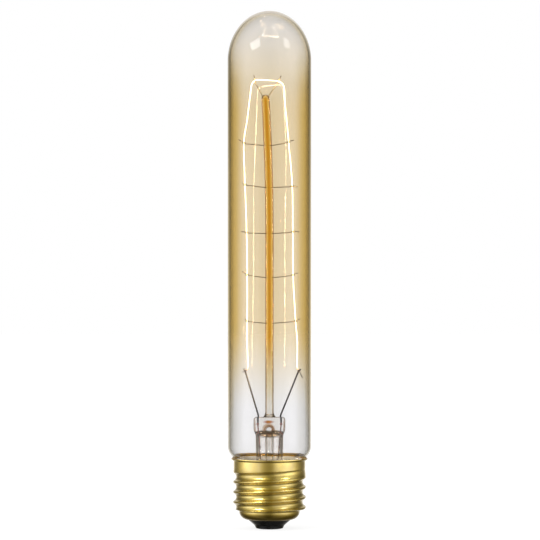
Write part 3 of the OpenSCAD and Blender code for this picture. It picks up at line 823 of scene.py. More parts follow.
def makeRod():
    # the drawn rod swells a little where it was fused to the press and is rounded off at its top
    footZ = pressTop + cap["fit"]
    low = footZ + np.linspace(0, 1, 10) ** 1.6 * rod["footRows"]
    z = np.concatenate([low, np.linspace(pressTop + rod["evenFrom"], rodTop - rod["radius"], 90)])
    path = np.stack([rodX(z), np.zeros(len(z)), z], axis=1)
    swell = rod["swell"] * np.exp(-((z - pressTop) / rod["swellHeight"]) ** 1.2)
    ripple = rod["ripple"] * np.sin(z * 0.9) + rod["ripple"] / 1.5 * np.sin(z * 0.37 + 1)
    radius = rod["radius"] + swell + ripple * smooth((z - pressTop) / 4)
    rings = swept(path, radius, np.tile([1.0, 0, 0], (len(z), 1)), 40)
    rings[:3, :, 2] = footZ
    makePiece("stem_rod", [(rings, False)], rodGlass)


makeFlare()
makePiece("stem_press", [pressSkin(), blowHole()], stemGlass)
makeExhaust()
makeRod()
print("stem made")


# Supports and hooks: thin wires set into the rod, each with one turn round the filament
wires = {
    "supportRadius": 0.15,
    "filamentRadius": 0.25,
    "eyeGap": 0.1,
    "reach": 8.4,
    "first": 33.7,  # from the press up to the lowest support
    "drop": 18.1,  # from the rod's top down to the highest one
    "socket": 0.8,
}
# Left and right hook: the way out of the rod, the eye seen from the rod's top, the line on which the
# filament passes through it, and the tail's run to the side
hook = {
    "drop": 1.3,
    "way": {-1: (-1.1, 0, 2.3), 1: (1.6, 0, 2.6)},
    "eye": {-1: (-3.85, 0, 5), 1: (4.5, 0, 4.8)},
    "axis": {-1: (1, 0, 0.55), 1: (1, 0, -0.25)},
    "tail": {-1: -0.3, 1: 1.1},
    "tailRise": 1.9,
}
eyeRadius = wires["filamentRadius"] + wires["eyeGap"] + wires["supportRadius"]
eyeClimb = 2 * wires["supportRadius"] + 0.1
supportStep = (rod["height"] - wires["drop"] - wires["first"]) / 4
# How each support differs from the mean, lowest level first; left row, then right row
rootTrim = (0, 0.4, 0.25, 0.8, -0.1)
reachTrim = {-1: (-0.4, -0.4, -0.2, 0.4, 0.8), 1: (1, 0.1, 0, -0.2, -1.5)}
eyeRise = {-1: (0.8, 1, 0.3, 1, 0.8), 1: (0.8, 1, 0.6, 0.4, 1.2)}
tails = {
    -1: ((0.8, 0.7), (1.7, 1.1), (1.8, 0.3), (0.9, 0.6), (1.8, 1.2)),
    1: ((1.5, 0.7), (1.6, 0.6), (2.2, -0.1), (1.8, -0.3), (1.7, 0.6)),
}

supportWire = metal(
    "supportWire",
    {
        "grain": 2600,
        "patch": 260,
        "clean": (0.34, 0.26, 0.13),
        "dull": (0.14, 0.1, 0.05),
        "rim": (0.6, 0.5, 0.35),
        "roughness": (0.3, 0.5),
        "relief": 0.004,
    },
)


def supportRoot(side, level, out):
    z = pressTop + wires["first"] + supportStep * level + rootTrim[level]
    return np.array([rodX(z) + side * (rod["radius"] - wires["socket"] + out), 0, z])


def strandEye(side, level):
    root = supportRoot(side, level, 0)
    return np.array([side * (wires["reach"] + reachTrim[side][level]), 0, root[2] + eyeRise[side][level]])


def makeSupport(side, level):
    # straight out of the rod to the eye, once round the filament, and on as a short tail
    centre = strandEye(side, level)
    ring = eyeTurn(centre, (0, 0, side), np.array([side, 0.0, 0.0]), eyeRadius, 360, side * eyeClimb)
    out, up = tails[side][level]
    tip = centre + np.array([side * out, -eyeRadius, up])
    root = supportRoot(side, level, 0)
    clear = supportRoot(side, level, wires["socket"] + 0.4)
    run = straight(clear, ring[0], 14)[1:-1]
    path = np.concatenate([straight(root, clear, 3), run, ring, straight(ring[-1], tip, 6)[1:]])
    name = f"side_support_{sideNames[side]}_{level + 1}"
    wirePiece(name, path, wires["supportRadius"], (0, 0, 1), supportWire)


def hookRoot(side, out):
    z = rodTop - hook["drop"]
    root = np.array([rodX(z) + side * (rod["radius"] - wires["socket"]), 0, z])
    return root + out * unit(hook["way"][side])


def hookEye(side):
    return np.array([rodX(rodTop), 0, rodTop]) + hook["eye"][side]


def squareTo(v, axis):
    # the part of a direction that is square to the axis
    return unit(v - np.dot(v, axis) * axis)


def makeHook(side):
    # a spline from the rod to the eye, once round the filament, and on as a short tail
    centre, axis = hookEye(side), unit(hook["axis"][side])
    out = hookRoot(side, wires["socket"] + 1.4)
    way = squareTo(unit(centre - out), axis)
    ring = eyeTurn(centre, axis, way, eyeRadius, 360, eyeClimb)
    tip = centre + np.array([hook["tail"][side], -eyeRadius, hook["tailRise"]])
    rise = spline([hookRoot(side, 0), hookRoot(side, 1.2), out, ring[0] - 1.2 * way, ring[0]], 6)[:-1]
    path = np.concatenate([rise, ring, straight(ring[-1], tip, 6)[1:]])
    name = f"top_hook_{sideNames[side]}"
    wirePiece(name, path, wires["supportRadius"], axis, supportWire)


for side in sideNames:
    makeHook(side)
    for level in range(5):
        makeSupport(side, level)
print("supports made")


# Leads: nickel from the press up to the filament, copper-clad through the press, copper below it
lead = {
    "radius": 0.3,
    "x": 4.0,
    "rise": 16.7,
    "tip": {-1: 8.8, 1: 10.6},
    "clamp": {-1: (-0.8, 0, -0.6), 1: (0.45, 0, -0.9)},  # along which the filament leaves the fold
    "foldTurn": 215,
    "foldThin": 0.12,
    "sealRadius": 0.2,
    "knotRadius": 0.45,
    "knotHeight": 4.6,
    "knotDrop": 3.7,
    "lowerRadius": 0.2,
    "solderAngle": 30.0,
}
upperKnotZ = stem["flareTop"] + lead["knotHeight"]
lowerKnotZ = stem["flareTop"] - lead["knotDrop"]
lowerKnotX = stem["flareRadius"] - stem["flareWall"] - lead["knotRadius"] - 0.1
tipZ = pressTop + lead["rise"]

# The left lead is given a bright tone at its top and the right one a near-black brown
leadTone = {
    -1: {"clean": (0.36, 0.28, 0.16), "dull": (0.16, 0.11, 0.06), "rim": (0.25, 0.17, 0.08)},
    1: {"clean": (0.04, 0.02, 0.004), "dull": (0.015, 0.007, 0.002), "rim": (0.1, 0.05, 0.012)},
}


def brownedLow(tree, place, inputs):
    # the heat of the sealing browned the wire towards the press
    near = mapped(tree, heightOf(tree, place), (pressTop - 1) * mm, (tipZ - 3) * mm, 1, 0)
    inputs["Base Color"] = mixed(tree, near, inputs["Base Color"], (0.015, 0.009, 0.004))


def leadWire(side):
    drawn = {"stretch": (1, 1, 0.2), "grain": 1800, "patch": 190, "roughness": (0.3, 0.5), "relief": 0.006}
    return metal("leadWire_" + sideNames[side], {**leadTone[side], **drawn}, adjust=brownedLow)


sealWire = metal(
    "sealWire",
    {
        "grain": 2400,
        "patch": 400,
        "clean": (0.45, 0.14, 0.09),
        "dull": (0.12, 0.04, 0.03),
        "rim": (0.6, 0.35, 0.25),
        "roughness": (0.35, 0.6),
        "relief": 0.006,
    },
)
copperWire = metal(
    "copperWire",
    {
        "grain": 2000,
        "patch": 150,
        "clean": (0.2, 0.12, 0.08),
        "dull": (0.05, 0.03, 0.02),
        "rim": (0.4, 0.3, 0.2),
        "roughness": (0.3, 0.55),
        "relief": 0.005,
    },
)


def leadTip(side):
    return np.array([side * lead["tip"][side], 0, tipZ])


def clampAxis(side):
    return unit(lead["clamp"][side])


def makeUpperLead(side):
    # up out of the press, a bend, a straight run, and a fold round the filament's end
    foot = np.array([side * lead["x"], 0, upperKnotZ + lead["knotRadius"]])
    top = np.array([side * lead["x"], 0, pressTop + 0.6])
    tip, axis = leadTip(side), clampAxis(side)
    way = squareTo(unit(tip - top), axis)
    foldRadius = wires["filamentRadius"] + lead["radius"] + cap["fit"]
    fold = eyeTurn(tip, axis, way, foldRadius, lead["foldTurn"], 0, 22)
    lean = unit(tip - top)
    bend = spline([foot, top - [0, 0, 0.9], top - [0, 0, 0.25], top + 0.5 * lean, top + 2 * lean], 6)
    path = np.concatenate([bend, straight(bend[-1], fold[0], 24)[1:-1], fold])
    # the folded end is pressed flatter, so the wire thins towards its tip
    along = np.linspace(0, 1, len(path))
    radius = lead["radius"] * (1 - lead["foldThin"] * smooth((along - 0.7) / 0.3))
    wirePiece(f"upper_lead_{sideNames[side]}", path, radius, axis, leadWire(side))


def makeSealWire(side):
    # the weld knots are swellings of the wire at both of its ends
    top = np.array([side * lead["x"], 0, upperKnotZ])
    foot = np.array([side * lowerKnotX, 0, lowerKnotZ])
    reach = np.linalg.norm(top - foot)
    s = np.concatenate([np.linspace(-1, 1, 15) * lead["knotRadius"], np.linspace(0.6, reach - 0.6, 12)])
    s = np.concatenate([s, reach + np.linspace(-1, 1, 15) * lead["knotRadius"]])
    near = np.minimum(np.abs(s), np.abs(s - reach)) / lead["knotRadius"]
    knot = lead["knotRadius"] * np.sqrt(np.clip(1 - near**2, 0, 1))
    ends = (np.abs(s) <= reach) & (s >= 0)
    radius = np.maximum(knot, lead["sealRadius"] * ends)
    path = foot + s[:, None] * unit(top - foot)
    wirePiece(f"seal_wire_{sideNames[side]}", path, radius, (0, 1, 0), sealWire, 16)


def makeContactLead():
    # down beside the exhaust tube, round its tip and into the contact's neck
    footZ = lowerKnotZ - lead["knotRadius"]
    clearX = stem["exhaustRadius"] + lead["lowerRadius"] + 0.5
    insulatorTop = base["insulatorHeight"]
    path = spline(
        [
            (-lowerKnotX, 0, footZ),
            (-lowerKnotX + 0.1, 0, footZ - 4),
            (-clearX - 0.6, 0, (footZ + stem["exhaustTip"]) / 2),
            (-clearX, 0, stem["exhaustTip"] + 1.5),
            (-clearX / 2, 0, stem["exhaustTip"] - 0.9),
            (0, 0, insulatorTop - 0.4),
            (0, 0, insulatorTop - 2),
            (0, 0, 0.6),
        ],
        8,
    )
    wirePiece("contact_lead", path, lead["lowerRadius"], (0, 1, 0), copperWire)


def makeShellLead():
    # down inside the flare, out under the neck, and up through the cement to the lip
    weldZ = lowerKnotZ - lead["knotRadius"]
    underZ = envelope["neckBottom"] - lead["lowerRadius"] - 0.5
    run = (envelope["neckRadius"] + cap["threadRadius"] - cap["threadDepth"] - cap["wall"]) / 2
    turn = lead["solderAngle"]
    points = np.array(
        [
            (lowerKnotX, 0, weldZ),
            (lowerKnotX - 0.2, turn / 4, weldZ - 4),
            (lowerKnotX - 0.2, turn / 2, envelope["neckBottom"] + stem["flareFoot"] + 0.8),
            (lowerKnotX + 0.8, turn, underZ + 3.2),
            (lowerKnotX + 3.2, turn, underZ + 0.6),
            (run - 1.4, turn, underZ - 0.3),
            (run - 0.1, turn, underZ + 0.1),
            (run, turn, underZ + 1.4),
            (run, turn, underZ + 4),
            (run, turn, waistZ - 0.6),
            (run + 0.5, turn, waistZ + 1.3),
            (cap["skirtRadius"] - cap["wall"] - lead["lowerRadius"] - 0.2, turn, cap["height"] - 0.8),
            (lipEdgeRadius - 0.8, turn, cap["height"] - 0.35),
            (lipEdgeRadius - lead["lowerRadius"] - 0.15, turn, cap["height"] - 0.1),
        ]
    )
    a = np.radians(points[:, 1])
    path = spline(np.stack([points[:, 0] * np.cos(a), points[:, 0] * np.sin(a), points[:, 2]], axis=1), 8)
    reference = (-math.sin(math.radians(turn)), math.cos(math.radians(turn)), 0)
    wirePiece("shell_lead", path, lead["lowerRadius"], reference, copperWire)


for side in sideNames:
    makeUpperLead(side)
    makeSealWire(side)
makeContactLead()
makeShellLead()
print("leads made")


# Filament: one long coil, clamped at both leads and carried by the eyes
coil = {
    "wireRadius": 0.075,
    "pitch": 0.33,
    "stepsPerTurn": 12,
    "glow": 1.6,
    "mirroredGlow": 64.0,
    "heat": (
        (0.0, (0.0, 0.0, 0.0)),
        (0.15, (0.06, 0.015, 0.002)),
        (0.5, (0.7, 0.4, 0.15)),
        (1.0, (1.0, 0.88, 0.7)),
    ),
}


def filamentRoute():
    # from clamp to clamp through all the eyes, with free points where it bows; all of it lies in Y = 0
    left, right = hookEye(-1), hookEye(1)
    highLeft, highRight = strandEye(-1, 4), strandEye(1, 4)
    start, end = leadTip(-1), leadTip(1)
    return np.array(
        [start + 1.1 * clampAxis(-1), start, start + [1, 0, 1.1], [-wires["reach"] + 0.4, 0, tipZ + 9.5]]
        + [strandEye(-1, level) for level in range(5)]
        + [
            highLeft + [1.2, 0, 8.4],
            [left[0] - 1.5, 0, left[2] - 4.2],
            [left[0] - 1.1, 0, left[2] - 1.4],
            left,
            left + [2, 0, 0.35],
            right + [-2.4, 0, 0.3],
            right,
            right + [1.8, 0, -1.1],
            right + [2.3, 0, -3.2],
            right + [2.5, 0, -7.5],
            highRight + [-0.7, 0, 7.8],
        ]
        + [strandEye(1, level) for level in range(4, -1, -1)]
        + [[wires["reach"] + 1.6, 0, tipZ + 10], end + [-0.6, 0, 1.3], end, end + 3 * clampAxis(1)]
    )


def filamentGlow():
    # white-hot, cooler towards both clamps and dark inside them; even its lesser glow is beyond white in
    # the picture, so the full strength is kept for its images in the glass
    material, tree, place = newMaterial("filamentGlow")
    warm = mapped(tree, heightOf(tree, place), (tipZ - 0.5) * mm, (tipZ + 2.0) * mm, 0, 1)
    uneven = noise(tree, place, 90, 2)
    heat = product(tree, warm, mapped(tree, uneven, 0.2, 0.8, 0.85, 1.0))
    inputs = {
        "Base Color": (0.25, 0.22, 0.2),
        "Metallic": 1.0,
        "Roughness": mapped(tree, uneven, 0.3, 0.7, 0.4, 0.6),
        "Normal": bumped(tree, 0.004, noise(tree, place, 6000, 2)),
        "Emission Color": coloured(tree, heat, coil["heat"]),
        "Emission Strength": mapped(tree, notMirrored(tree), 0, 1, coil["mirroredGlow"], coil["glow"]),
    }
    show(tree, addNode(tree, "BsdfPrincipled", inputs).outputs[0])
    return material


def makeFilament():
    # the coil's wire goes round the route at a steady pitch, turning between Y and the direction that is
    # square to Y and to the route; its own rings begin at the coil's radius
    step = coil["pitch"] / coil["stepsPerTurn"]
    route, s = evenly(spline(filamentRoute(), 24), step)
    heading = unit(np.gradient(route, axis=0))
    across = np.tile([0.0, 1.0, 0.0], (len(route), 1))
    normal = np.cross(across, heading)
    a = (2 * math.pi * s / coil["pitch"])[:, None]
    radial = np.cos(a) * normal + np.sin(a) * across
    path = route + (wires["filamentRadius"] - coil["wireRadius"]) * radial
    makePiece("filament", [(swept(path, coil["wireRadius"], radial, 4), False)], filamentGlow())


makeFilament()
print("filament made")


# Cap: rolled brass shell, cement, black glass, contact and solder
brassLook = {
    "stretch": (1, 1, 7),
    "grain": 420,
    "patch": 95,
    "clean": (0.74, 0.54, 0.06),
    "dull": (0.53, 0.37, 0.02),
    "roughness": (0.25, 0.36),
    "relief": 0.0008,
    # painted shade in the thread's roots
    "groove": (0.6, 0.44, 0.05),
    "grooveDepth": 0.6,
    "heated": (0.33, 0.22, 0.02),
    "heatedBelow": 1.5,  # the browned foot ends between these two distances from its edge
    "heatedAbove": 0.7,
    # painted shade on the sheet's inner face
    "inside": (0.46, 0.26, 0.015),
    "insideLow": 22.0,
    "coatRoughness": 0.17,
    "coatIor": 2.1,
    "bareCoat": 0.25,
}
# Half-way through the brass sheet below the lip and in it: two heights, and the radii there
sheetMiddle = {"lowZ": 24.3, "highZ": 25.1, "lowRadius": 12.75, "highRadius": 13.5}
crestZ = cap["footHeight"] + cap["firstCrest"]
skirtZ = cap["height"] - cap["skirtHeight"]
lipRound = cap["lipOut"] - cap["lipHollow"]
bothRadii = ((cap["pitch"] / 2) ** 2 + cap["threadDepth"] ** 2) / (2 * cap["threadDepth"])
crestRadius = bothRadii * cap["crestShare"]
rootRadius = bothRadii - crestRadius


def lacqueredCap(tree, place, inputs):
    # grooves are painted darker, as painted shade in the thread's roots, and are a little rougher; all
    # under a clear lacquer
    radius = vectorMaths(tree, "LENGTH", vectorMaths(tree, "MULTIPLY", place, (1, 1, 0)))
    root = cap["threadRadius"] - cap["threadDepth"]
    groove = mapped(tree, radius, root * mm, (root + brassLook["grooveDepth"]) * mm, 1, 0)
    shadedAndHeated = mixed(tree, groove, inputs["Base Color"], brassLook["groove"])
    # the foot lost its lacquer and went brown when the black glass was melted in
    height = heightOf(tree, place)
    heatedTo = cap["footHeight"] + brassLook["heatedAbove"]
    heated = mapped(tree, height, (cap["footHeight"] - brassLook["heatedBelow"]) * mm, heatedTo * mm, 1, 0)
    shadedAndHeated = mixed(tree, heated, shadedAndHeated, brassLook["heated"])
    # the sheet's inner face, which shows through the glass above the lip, is painted darker brown as shade,
    # and it is bare of lacquer as the foot is
    heights = {1: sheetMiddle["lowZ"] * mm, 2: sheetMiddle["highZ"] * mm}
    radii = {3: sheetMiddle["lowRadius"] * mm, 4: sheetMiddle["highRadius"] * mm}
    middle = addNode(tree, "MapRange", {0: height, **heights, **radii}).outputs[0]
    depth = maths(tree, "SUBTRACT", middle, radius)
    high = mapped(tree, height, brassLook["insideLow"] * mm, (brassLook["insideLow"] + 0.5) * mm, 0, 1)
    inside = product(tree, mapped(tree, depth, 0, 0.05 * mm, 0, 1), high)
    bare = maths(tree, "MAXIMUM", heated, inside)
    inputs["Base Color"] = mixed(tree, inside, shadedAndHeated, brassLook["inside"])
    inputs["Roughness"] = maths(tree, "MULTIPLY_ADD", groove, 0.03, inputs["Roughness"])
    inputs["Coat Weight"] = mapped(tree, bare, 0, 1, 1.0, brassLook["bareCoat"])
    inputs["Coat Roughness"] = brassLook["coatRoughness"]
    inputs["Coat IOR"] = brassLook["coatIor"]


def knuckle(turns):
    # 0 on the crest and 1 in the root: two arcs that touch on the flank
    u = np.abs(turns - np.round(turns)) * cap["pitch"]
    v = cap["pitch"] / 2 - u
    crest = (crestRadius - np.sqrt(crestRadius**2 - np.minimum(u, crestRadius) ** 2)) / cap["threadDepth"]
    root = 1 - (rootRadius - np.sqrt(rootRadius**2 - np.minimum(v, rootRadius) ** 2)) / cap["threadDepth"]
    return np.where(u <= cap["pitch"] / 2 * cap["crestShare"], crest, root)


def threadSkin(turn, z):
    # right-hand groove that fades out under the skirt and is cut off below by the step to the foot
    fadeFrom, fadeTo = skirtZ - cap["fadeFrom"], skirtZ - cap["fadeTo"]
    turns = (z - crestZ) / cap["pitch"] - turn
    grooveZ = crestZ + cap["pitch"] * (np.floor(turns) + 0.5 + turn)
    depth = cap["threadDepth"] * (1 - smooth((grooveZ - fadeFrom) / (fadeTo - fadeFrom)))
    toSkirt = cap["skirtRadius"] - cap["threadRadius"]
    crest = cap["threadRadius"] + toSkirt * smooth((z - fadeFrom) / (skirtZ - fadeFrom))
    toThread = cap["threadRadius"] - cap["footRadius"]
    step = cap["footRadius"] + toThread * smooth((z - cap["footHeight"]) / cap["stepHeight"])
    return np.minimum(crest - depth * knuckle(turns), step)


def makeShell():
    # the profile of radius and height at each angle, then the same set in square to itself by the sheet
    turn = np.arange(cap["sectors"])[None, :] / cap["sectors"]
    lipZ = cap["height"] - cap["lipEdge"] - lipRound - cap["lipHollow"]
    edgeRadius = cap["footRadius"] - cap["footRound"]
    foot = arc(edgeRadius, cap["footHeight"], cap["footRound"], -90, -6, 15)
    threadZ = np.linspace(cap["footHeight"], skirtZ, 360)[:, None]
    skirt = straight((cap["skirtRadius"], skirtZ), (cap["skirtRadius"], lipZ), 6)[1:-1]
    lipX = cap["skirtRadius"] + cap["lipHollow"]
    hollow = arc(lipX, lipZ, cap["lipHollow"], 180, 90, 8)
    rounded = arc(lipX, cap["height"] - cap["lipEdge"], lipRound, -60, 0, 7)
    lip = np.array([(cap["skirtRadius"] + cap["lipOut"], cap["height"])])
    flat = np.ones((1, cap["sectors"]))
    upper = (skirt, hollow, rounded, lip)
    r = [foot[:, :1] * flat, threadSkin(turn, threadZ)] + [part[:, :1] * flat for part in upper]
    z = [foot[:, 1:] * flat, threadZ * flat] + [part[:, 1:] * flat for part in upper]
    line = np.stack([np.concatenate(r), np.concatenate(z)], axis=-1)
    along = unit(np.gradient(line, axis=0))
    inward = np.stack([-along[..., 1], along[..., 0]], axis=-1)
    inward[0] = (0, 1)
    inward[-1] = (-1, 0)
    whole = np.concatenate([line, (line + cap["wall"] * inward)[::-1]])
    a = 2 * math.pi * turn
    points = np.stack([whole[..., 0] * np.cos(a), whole[..., 0] * np.sin(a), whole[..., 1]], axis=-1)
    makePiece("cap_shell", [(points, True)], metal("capBrass", brassLook, adjust=lacqueredCap))


def makeCement():
    # a ring between the neck and the inside of thread and skirt
    inside = cap["threadRadius"] - cap["threadDepth"] - cap["wall"] - 2 * cap["fit"]
    skirtIn = cap["skirtRadius"] - cap["wall"] - 2 * cap["fit"]
    low, high = envelope["neckBottom"] + 4, skirtZ + 2
    line = envelopeLine(-cap["fit"])
    line = line[(line[:, 1] > low) & (line[:, 1] < high) & (line[:, 0] < skirtIn)]
    outer = np.array([(inside, low), (inside, skirtZ + 0.2), (skirtIn, skirtZ + 0.6), (skirtIn, high)])
    inner = np.concatenate([[(line[0, 0], high)], line, [(envelope["neckRadius"] + cap["fit"], low)]])
    material = metal(
        "capCement",
        {
            "grain": 900,
            "patch": 240,
            "clean": (0.95, 0.92, 0.89),
            "dull": (0.84, 0.8, 0.76),
            "roughness": (0.8, 0.95),
            "relief": 0.03,
        },
        0.0,
    )
    turnedPiece("cap_cement", np.concatenate([outer, inner]), 96, material)


def makeInsulator():
    # hole and seat for the contact, a round rim, a short cone, then out to the shell's foot and up in it
    fit, rimRound = cap["fit"], base["rimRound"]
    hole, seat = base["neckRadius"] + fit, base["contactRadius"] + fit
    rim = base["contactRadius"] + base["rimWidth"]
    footEdge = cap["footRadius"] - cap["footRound"]
    edge = footEdge - 2 * fit
    inner = cap["footRound"] - cap["wall"] - 2 * fit
    edgeZ = cap["footHeight"] - cap["footRound"] - 0.05
    out, thick = base["contactOut"], base["contactThickness"]
    cone = straight((rim, out + rimRound), (rim + base["coneWidth"], out + base["coneHeight"]), 5)
    profile = np.concatenate(
        [
            [(hole, thick), (seat, thick), (seat, out)],
            arc(rim - rimRound, out + rimRound, rimRound, -90, 0, 5),
            cone[1:],
            straight(cone[-1], (edge, edgeZ), 8)[1:],
            straight((edge, edgeZ), (edge, cap["footHeight"] - inner), 3)[1:],
            arc(footEdge, cap["footHeight"], inner, -90, 0, 16),
            [(cap["footRadius"] - cap["wall"] - 2 * fit - 1.2, cap["footHeight"])],
            [(hole + 2.4, base["insulatorHeight"]), (hole, base["insulatorHeight"])],
        ]
    )
    material, tree, place = newMaterial("blackGlass")
    speck = mapped(tree, noise(tree, place, 700, 3), 0.55, 0.75, 0, 1)
    cloud = noise(tree, place, 160, 3)
    inputs = {
        "Base Color": mixed(tree, speck, (0.002, 0.002, 0.002), (0.012, 0.011, 0.01)),
        "Roughness": mapped(tree, cloud, 0.3, 0.7, 0.18, 0.4),
        "Normal": bumped(tree, 0.02, cloud),
    }
    show(tree, addNode(tree, "BsdfPrincipled", inputs).outputs[0])
    turnedPiece("cap_insulator", profile, 128, material)


def makeContact():
    # a disc with a rounded edge and a hollow middle, and a thin neck that goes up into the black glass
    r, neck, edge = base["contactRadius"], base["neckRadius"], base["contactEdge"]
    thick, dimple = base["contactThickness"], base["dimpleRadius"]
    hollow = thick - base["dimpleWall"]
    neckIn, neckTop = neck - base["neckWall"], thick + base["neckHeight"]
    bore = lead["lowerRadius"] + 2 * cap["fit"]
    profile = np.concatenate(
        [
            straight((dimple, 0), (r - edge, 0), 5)[:-1],
            arc(r - edge, edge, edge, -90, 0, 6),
            [(r, thick), (neck, thick), (neck, neckTop), (neckIn, neckTop), (neckIn, thick)],
            [(bore, thick), (bore, hollow), (dimple - 0.3, hollow)],
        ]
    )
    material = metal(
        "contactMetal",
        {
            "grain": 700,
            "patch": 220,
            "clean": (0.6, 0.57, 0.5),
            "dull": (0.36, 0.33, 0.27),
            "roughness": (0.28, 0.5),
            "relief": 0.01,
        },
    )
    turnedPiece("centre_contact", profile, 96, material)


solderDrop = {"radius": 0.65, "halfHeight": 0.45, "inset": 0.1}


def makeSolder():
    material = metal(
        "softSolder",
        {
            "grain": 900,
            "patch": 500,
            "clean": (0.62, 0.62, 0.62),
            "dull": (0.36, 0.36, 0.35),
            "roughness": (0.24, 0.5),
            "relief": 0.02,
        },
    )
    r = base["dimpleRadius"] - cap["fit"]
    top = base["contactThickness"] - base["dimpleWall"] - cap["fit"]
    plug = np.concatenate([straight((0, 0), (r, 0), 5), [(r - 0.3, top), (0, top)]])
    turnedPiece("contact_solder", plug, 48, material, False)
    # a drop over the lip: a flattened ball whose underside follows the lip's edge
    lipRadius = cap["skirtRadius"] + cap["lipOut"]
    a = np.radians(np.linspace(90, -90, 24))
    ball = np.stack([solderDrop["radius"] * np.cos(a), solderDrop["halfHeight"] * np.sin(a)], axis=1)
    turn = math.radians(lead["solderAngle"])
    reach = lipRadius - solderDrop["inset"]
    drop = revolved(ball, 32) + np.array([reach * math.cos(turn), reach * math.sin(turn), cap["height"]])
    overLip = np.hypot(drop[..., 0], drop[..., 1]) < lipRadius + cap["fit"]
    drop[..., 2] = np.where(overLip, np.maximum(drop[..., 2], cap["height"] + cap["fit"] / 2), drop[..., 2])
    makePiece("side_solder", [(drop, False)], material)


makeShell()
makeCement()
makeInsulator()
makeContact()
makeSolder()
print("cap made")


# Studio: pale floor, white surround and two soft lights high in front
studio = {
    "floorSize": 6.0,  # metres, as the lamps' distance is
    "white": 1.0,
    "floorDrop": 0.05,  # millimetres under the contact
    "floorGlow": 0.84,
    "floorTones": (0.16, 0.2),
    "lampDistance": 1.2,
    "lampColour": (0.98, 0.99, 1.0),
    # radiance of the walls by degrees round from the camera's side, the picture's left being negative
    "walls": (
        (-165, 1.0),
        (-153, 0.45),
        (-140, 0.16),
        (-120, 0.25),
        (-104, 0.6),
        (-92, 1.2),
        (-80, 1.9),
        (-66, 2.4),
        (-55, 1.7),
        (-46, 1.4),
        (-34, 1.5),
        (-26, 0.8),
        (-14, 0.36),
        (0, 0.24),
        (8, 0.3),
        (16, 0.75),
        (25, 1.2),
        (38, 1.3),
        (50, 1.8),
        (62, 2.0),
        (76, 1.7),
        (88, 1.0),
        (98, 0.5),
        (116, 0.18),
        (140, 0.16),
        (153, 0.45),
        (165, 1.0),
    ),
    "dimColour": (1.06, 0.98, 0.78),
    "brightColour": (0.99, 0.99, 1.05),
    # what is left of it from straight down, at -1, to straight up, at 1: below, then in front and behind
    "levelsBelow": ((-1.0, 0.08), (-0.6, 0.25), (-0.3, 0.9), (-0.05, 1.2)),
    "levels": ((0.04, 0.85), (0.075, 0.45), (0.5, 0.5), (1.0, 0.35)),
    "levelsBehind": ((0.04, 0.8), (0.09, 0.5), (0.25, 0.8), (1.0, 0.5)),
}
# Degrees round from the camera's side, degrees up and of lean, metres across and high
lamps = {
    "windowLeft": {"round": -44, "up": 33, "lean": 32, "width": 0.5, "height": 0.36, "radiance": 9.0},
    "windowRight": {"round": 55, "up": 34, "lean": -20, "width": 0.33, "height": 0.34, "radiance": 5.2},
}
bloom = {"Threshold": 1.3, "Strength": 0.35, "Size": 0.25, "Maximum": 6.0, "Tint": (0.55, 0.7, 1.0, 1)}


def makeLamp(name, look):
    # a soft light shows a quarter of its power for each square metre
    light = bpy.data.lights.new(name, "AREA")
    light.shape = "RECTANGLE"
    light.size, light.size_y = look["width"], look["height"]
    light.energy = 4 * look["radiance"] * look["width"] * look["height"]
    light.color = studio["lampColour"]
    a, e = math.radians(look["round"]), math.radians(look["up"])
    way = np.array([math.sin(a) * math.cos(e), -math.cos(a) * math.cos(e), math.sin(e)])
    lamp = bpy.data.objects.new(name, light)
    middle = (cadLow.z + cadHigh.z) / 2
    lamp.location = tuple(way * studio["lampDistance"] + [0, 0, middle])
    # an area light shines along its own minus Z, about which it leans first
    lean = Matrix.Rotation(math.radians(look["lean"]), 3, "Z")
    lamp.rotation_euler = (Euler((math.radians(90) - e, 0, a)).to_matrix() @ lean).to_euler()
    lamp.visible_camera = False
    lamp.visible_transmission = False
    bpy.context.scene.collection.objects.link(lamp)


def makeWorld():
    # plain white behind all that is looked at directly or straight through glass, and for matt surfaces;
    # what mirrors see is a room with a tall soft wall of light on either side of the camera
    world = bpy.data.worlds.new("studio")
    bpy.context.scene.world = world
    tree = emptyTree(world)
    way = addNode(tree, "TexCoord", {}).outputs["Generated"]
    x, y, z = addNode(tree, "SeparateXYZ", {0: way}).outputs
    turn = maths(tree, "ARCTAN2", x, maths(tree, "MULTIPLY", y, -1.0))
    share = addNode(tree, "MapRange", {0: turn, 1: -math.pi, 2: math.pi}).outputs[0]
    height = addNode(tree, "MapRange", {0: z, 1: -1.0, 2: 1.0}).outputs[0]

    def greys(value, stops, low, span):
        return coloured(tree, value, [((at - low) / span, (grey, grey, grey)) for at, grey in stops])

    walls = greys(share, studio["walls"], -180, 360)
    front = greys(height, studio["levelsBelow"] + studio["levels"], -1, 2)
    behind = greys(height, studio["levelsBelow"] + studio["levelsBehind"], -1, 2)
    levels = mixed(tree, mapped(tree, y, 0.3, 0.8, 0, 1), front, behind)
    dim, bright = studio["dimColour"], studio["brightColour"]
    tone = mixed(tree, mapped(tree, walls, 0.3, 1.5, 0, 1), dim, bright)
    room = mixed(tree, 1.0, mixed(tree, 1.0, walls, levels, "MULTIPLY"), tone, "MULTIPLY")
    glossy = addNode(tree, "LightPath", {}).outputs["Is Glossy Ray"]
    through = addNode(tree, "LightPath", {}).outputs["Is Transmission Ray"]
    seen = maths(tree, "MAXIMUM", maths(tree, "SUBTRACT", 1.0, glossy), through)
    white = (studio["white"],) * 3
    colour = mixed(tree, product(tree, seen, notMirrored(tree)), room, white)
    addNode(tree, "OutputWorld", {"Surface": addNode(tree, "Background", {"Color": colour}).outputs[0]})


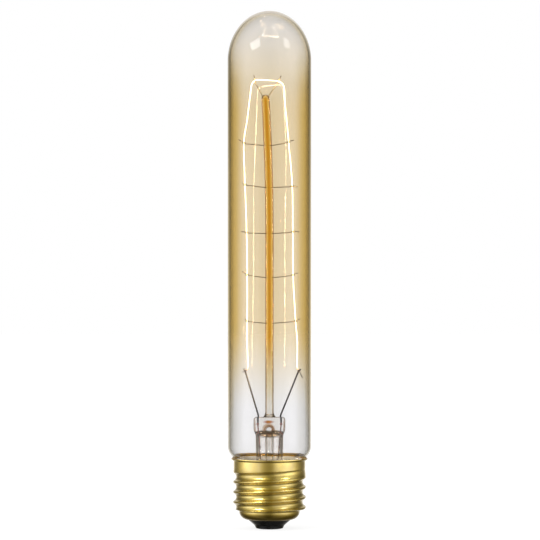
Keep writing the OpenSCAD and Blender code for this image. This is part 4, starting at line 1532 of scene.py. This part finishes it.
def makeFloor():
    # a pale floor that shows white and takes a faint shadow; mirrors see the room in its place, and it
    # isn't in the way of a look from below
    half = studio["floorSize"] / 2
    corners = [(-half, -half, 0), (half, -half, 0), (half, half, 0), (-half, half, 0)]
    mesh = bpy.data.meshes.new("floor")
    mesh.from_pydata(corners, [], [(0, 1, 2, 3)])
    floor = bpy.data.objects.new("floor", mesh)
    floor.location.z = -studio["floorDrop"] * mm
    bpy.context.scene.collection.objects.link(floor)
    material, tree, place = newMaterial("paleFloor")
    dark, pale, glow = [(grey, grey, grey) for grey in (*studio["floorTones"], studio["floorGlow"])]
    colour = mixed(tree, noise(tree, place, 60, 3), dark, pale)
    paper = addNode(tree, "BsdfDiffuse", {"Color": colour}).outputs[0]
    bright = addNode(tree, "Emission", {"Color": glow}).outputs[0]
    lit = addNode(tree, "AddShader", {0: paper, 1: bright}).outputs[0]
    gone = addNode(tree, "BsdfTransparent", {}).outputs[0]
    under = addNode(tree, "NewGeometry", {}).outputs["Backfacing"]
    kept = product(tree, notMirrored(tree), maths(tree, "SUBTRACT", 1.0, under))
    show(tree, addNode(tree, "MixShader", {0: kept, 1: gone, 2: lit}).outputs[0])
    mesh.materials.append(material)


def makeGlare():
    # the filament is far brighter than white, so it bleeds a little into the picture, as in any lens
    tree = emptyTree(bpy.context.scene)
    layers = tree.nodes.new("CompositorNodeRLayers")
    glare = tree.nodes.new("CompositorNodeGlare")
    glare.glare_type = "BLOOM"
    for name, value in bloom.items():
        glare.inputs[name].default_value = value
    out = tree.nodes.new("CompositorNodeComposite")
    tree.links.new(layers.outputs["Image"], glare.inputs["Image"])
    tree.links.new(glare.outputs["Image"], out.inputs["Image"])


def setLightPaths():
    # enough passes for glass within glass, and the filament's images in it keep most of their strength
    scene = bpy.context.scene
    scene.view_settings.view_transform = "Standard"
    scene.cycles.max_bounces = 24
    scene.cycles.transmission_bounces = 24
    scene.cycles.transparent_max_bounces = 32
    scene.cycles.glossy_bounces = 8
    scene.cycles.sample_clamp_indirect = 30


for name, look in lamps.items():
    makeLamp(name, look)
makeWorld()
makeFloor()
makeGlare()
setLightPaths()
print("studio set")
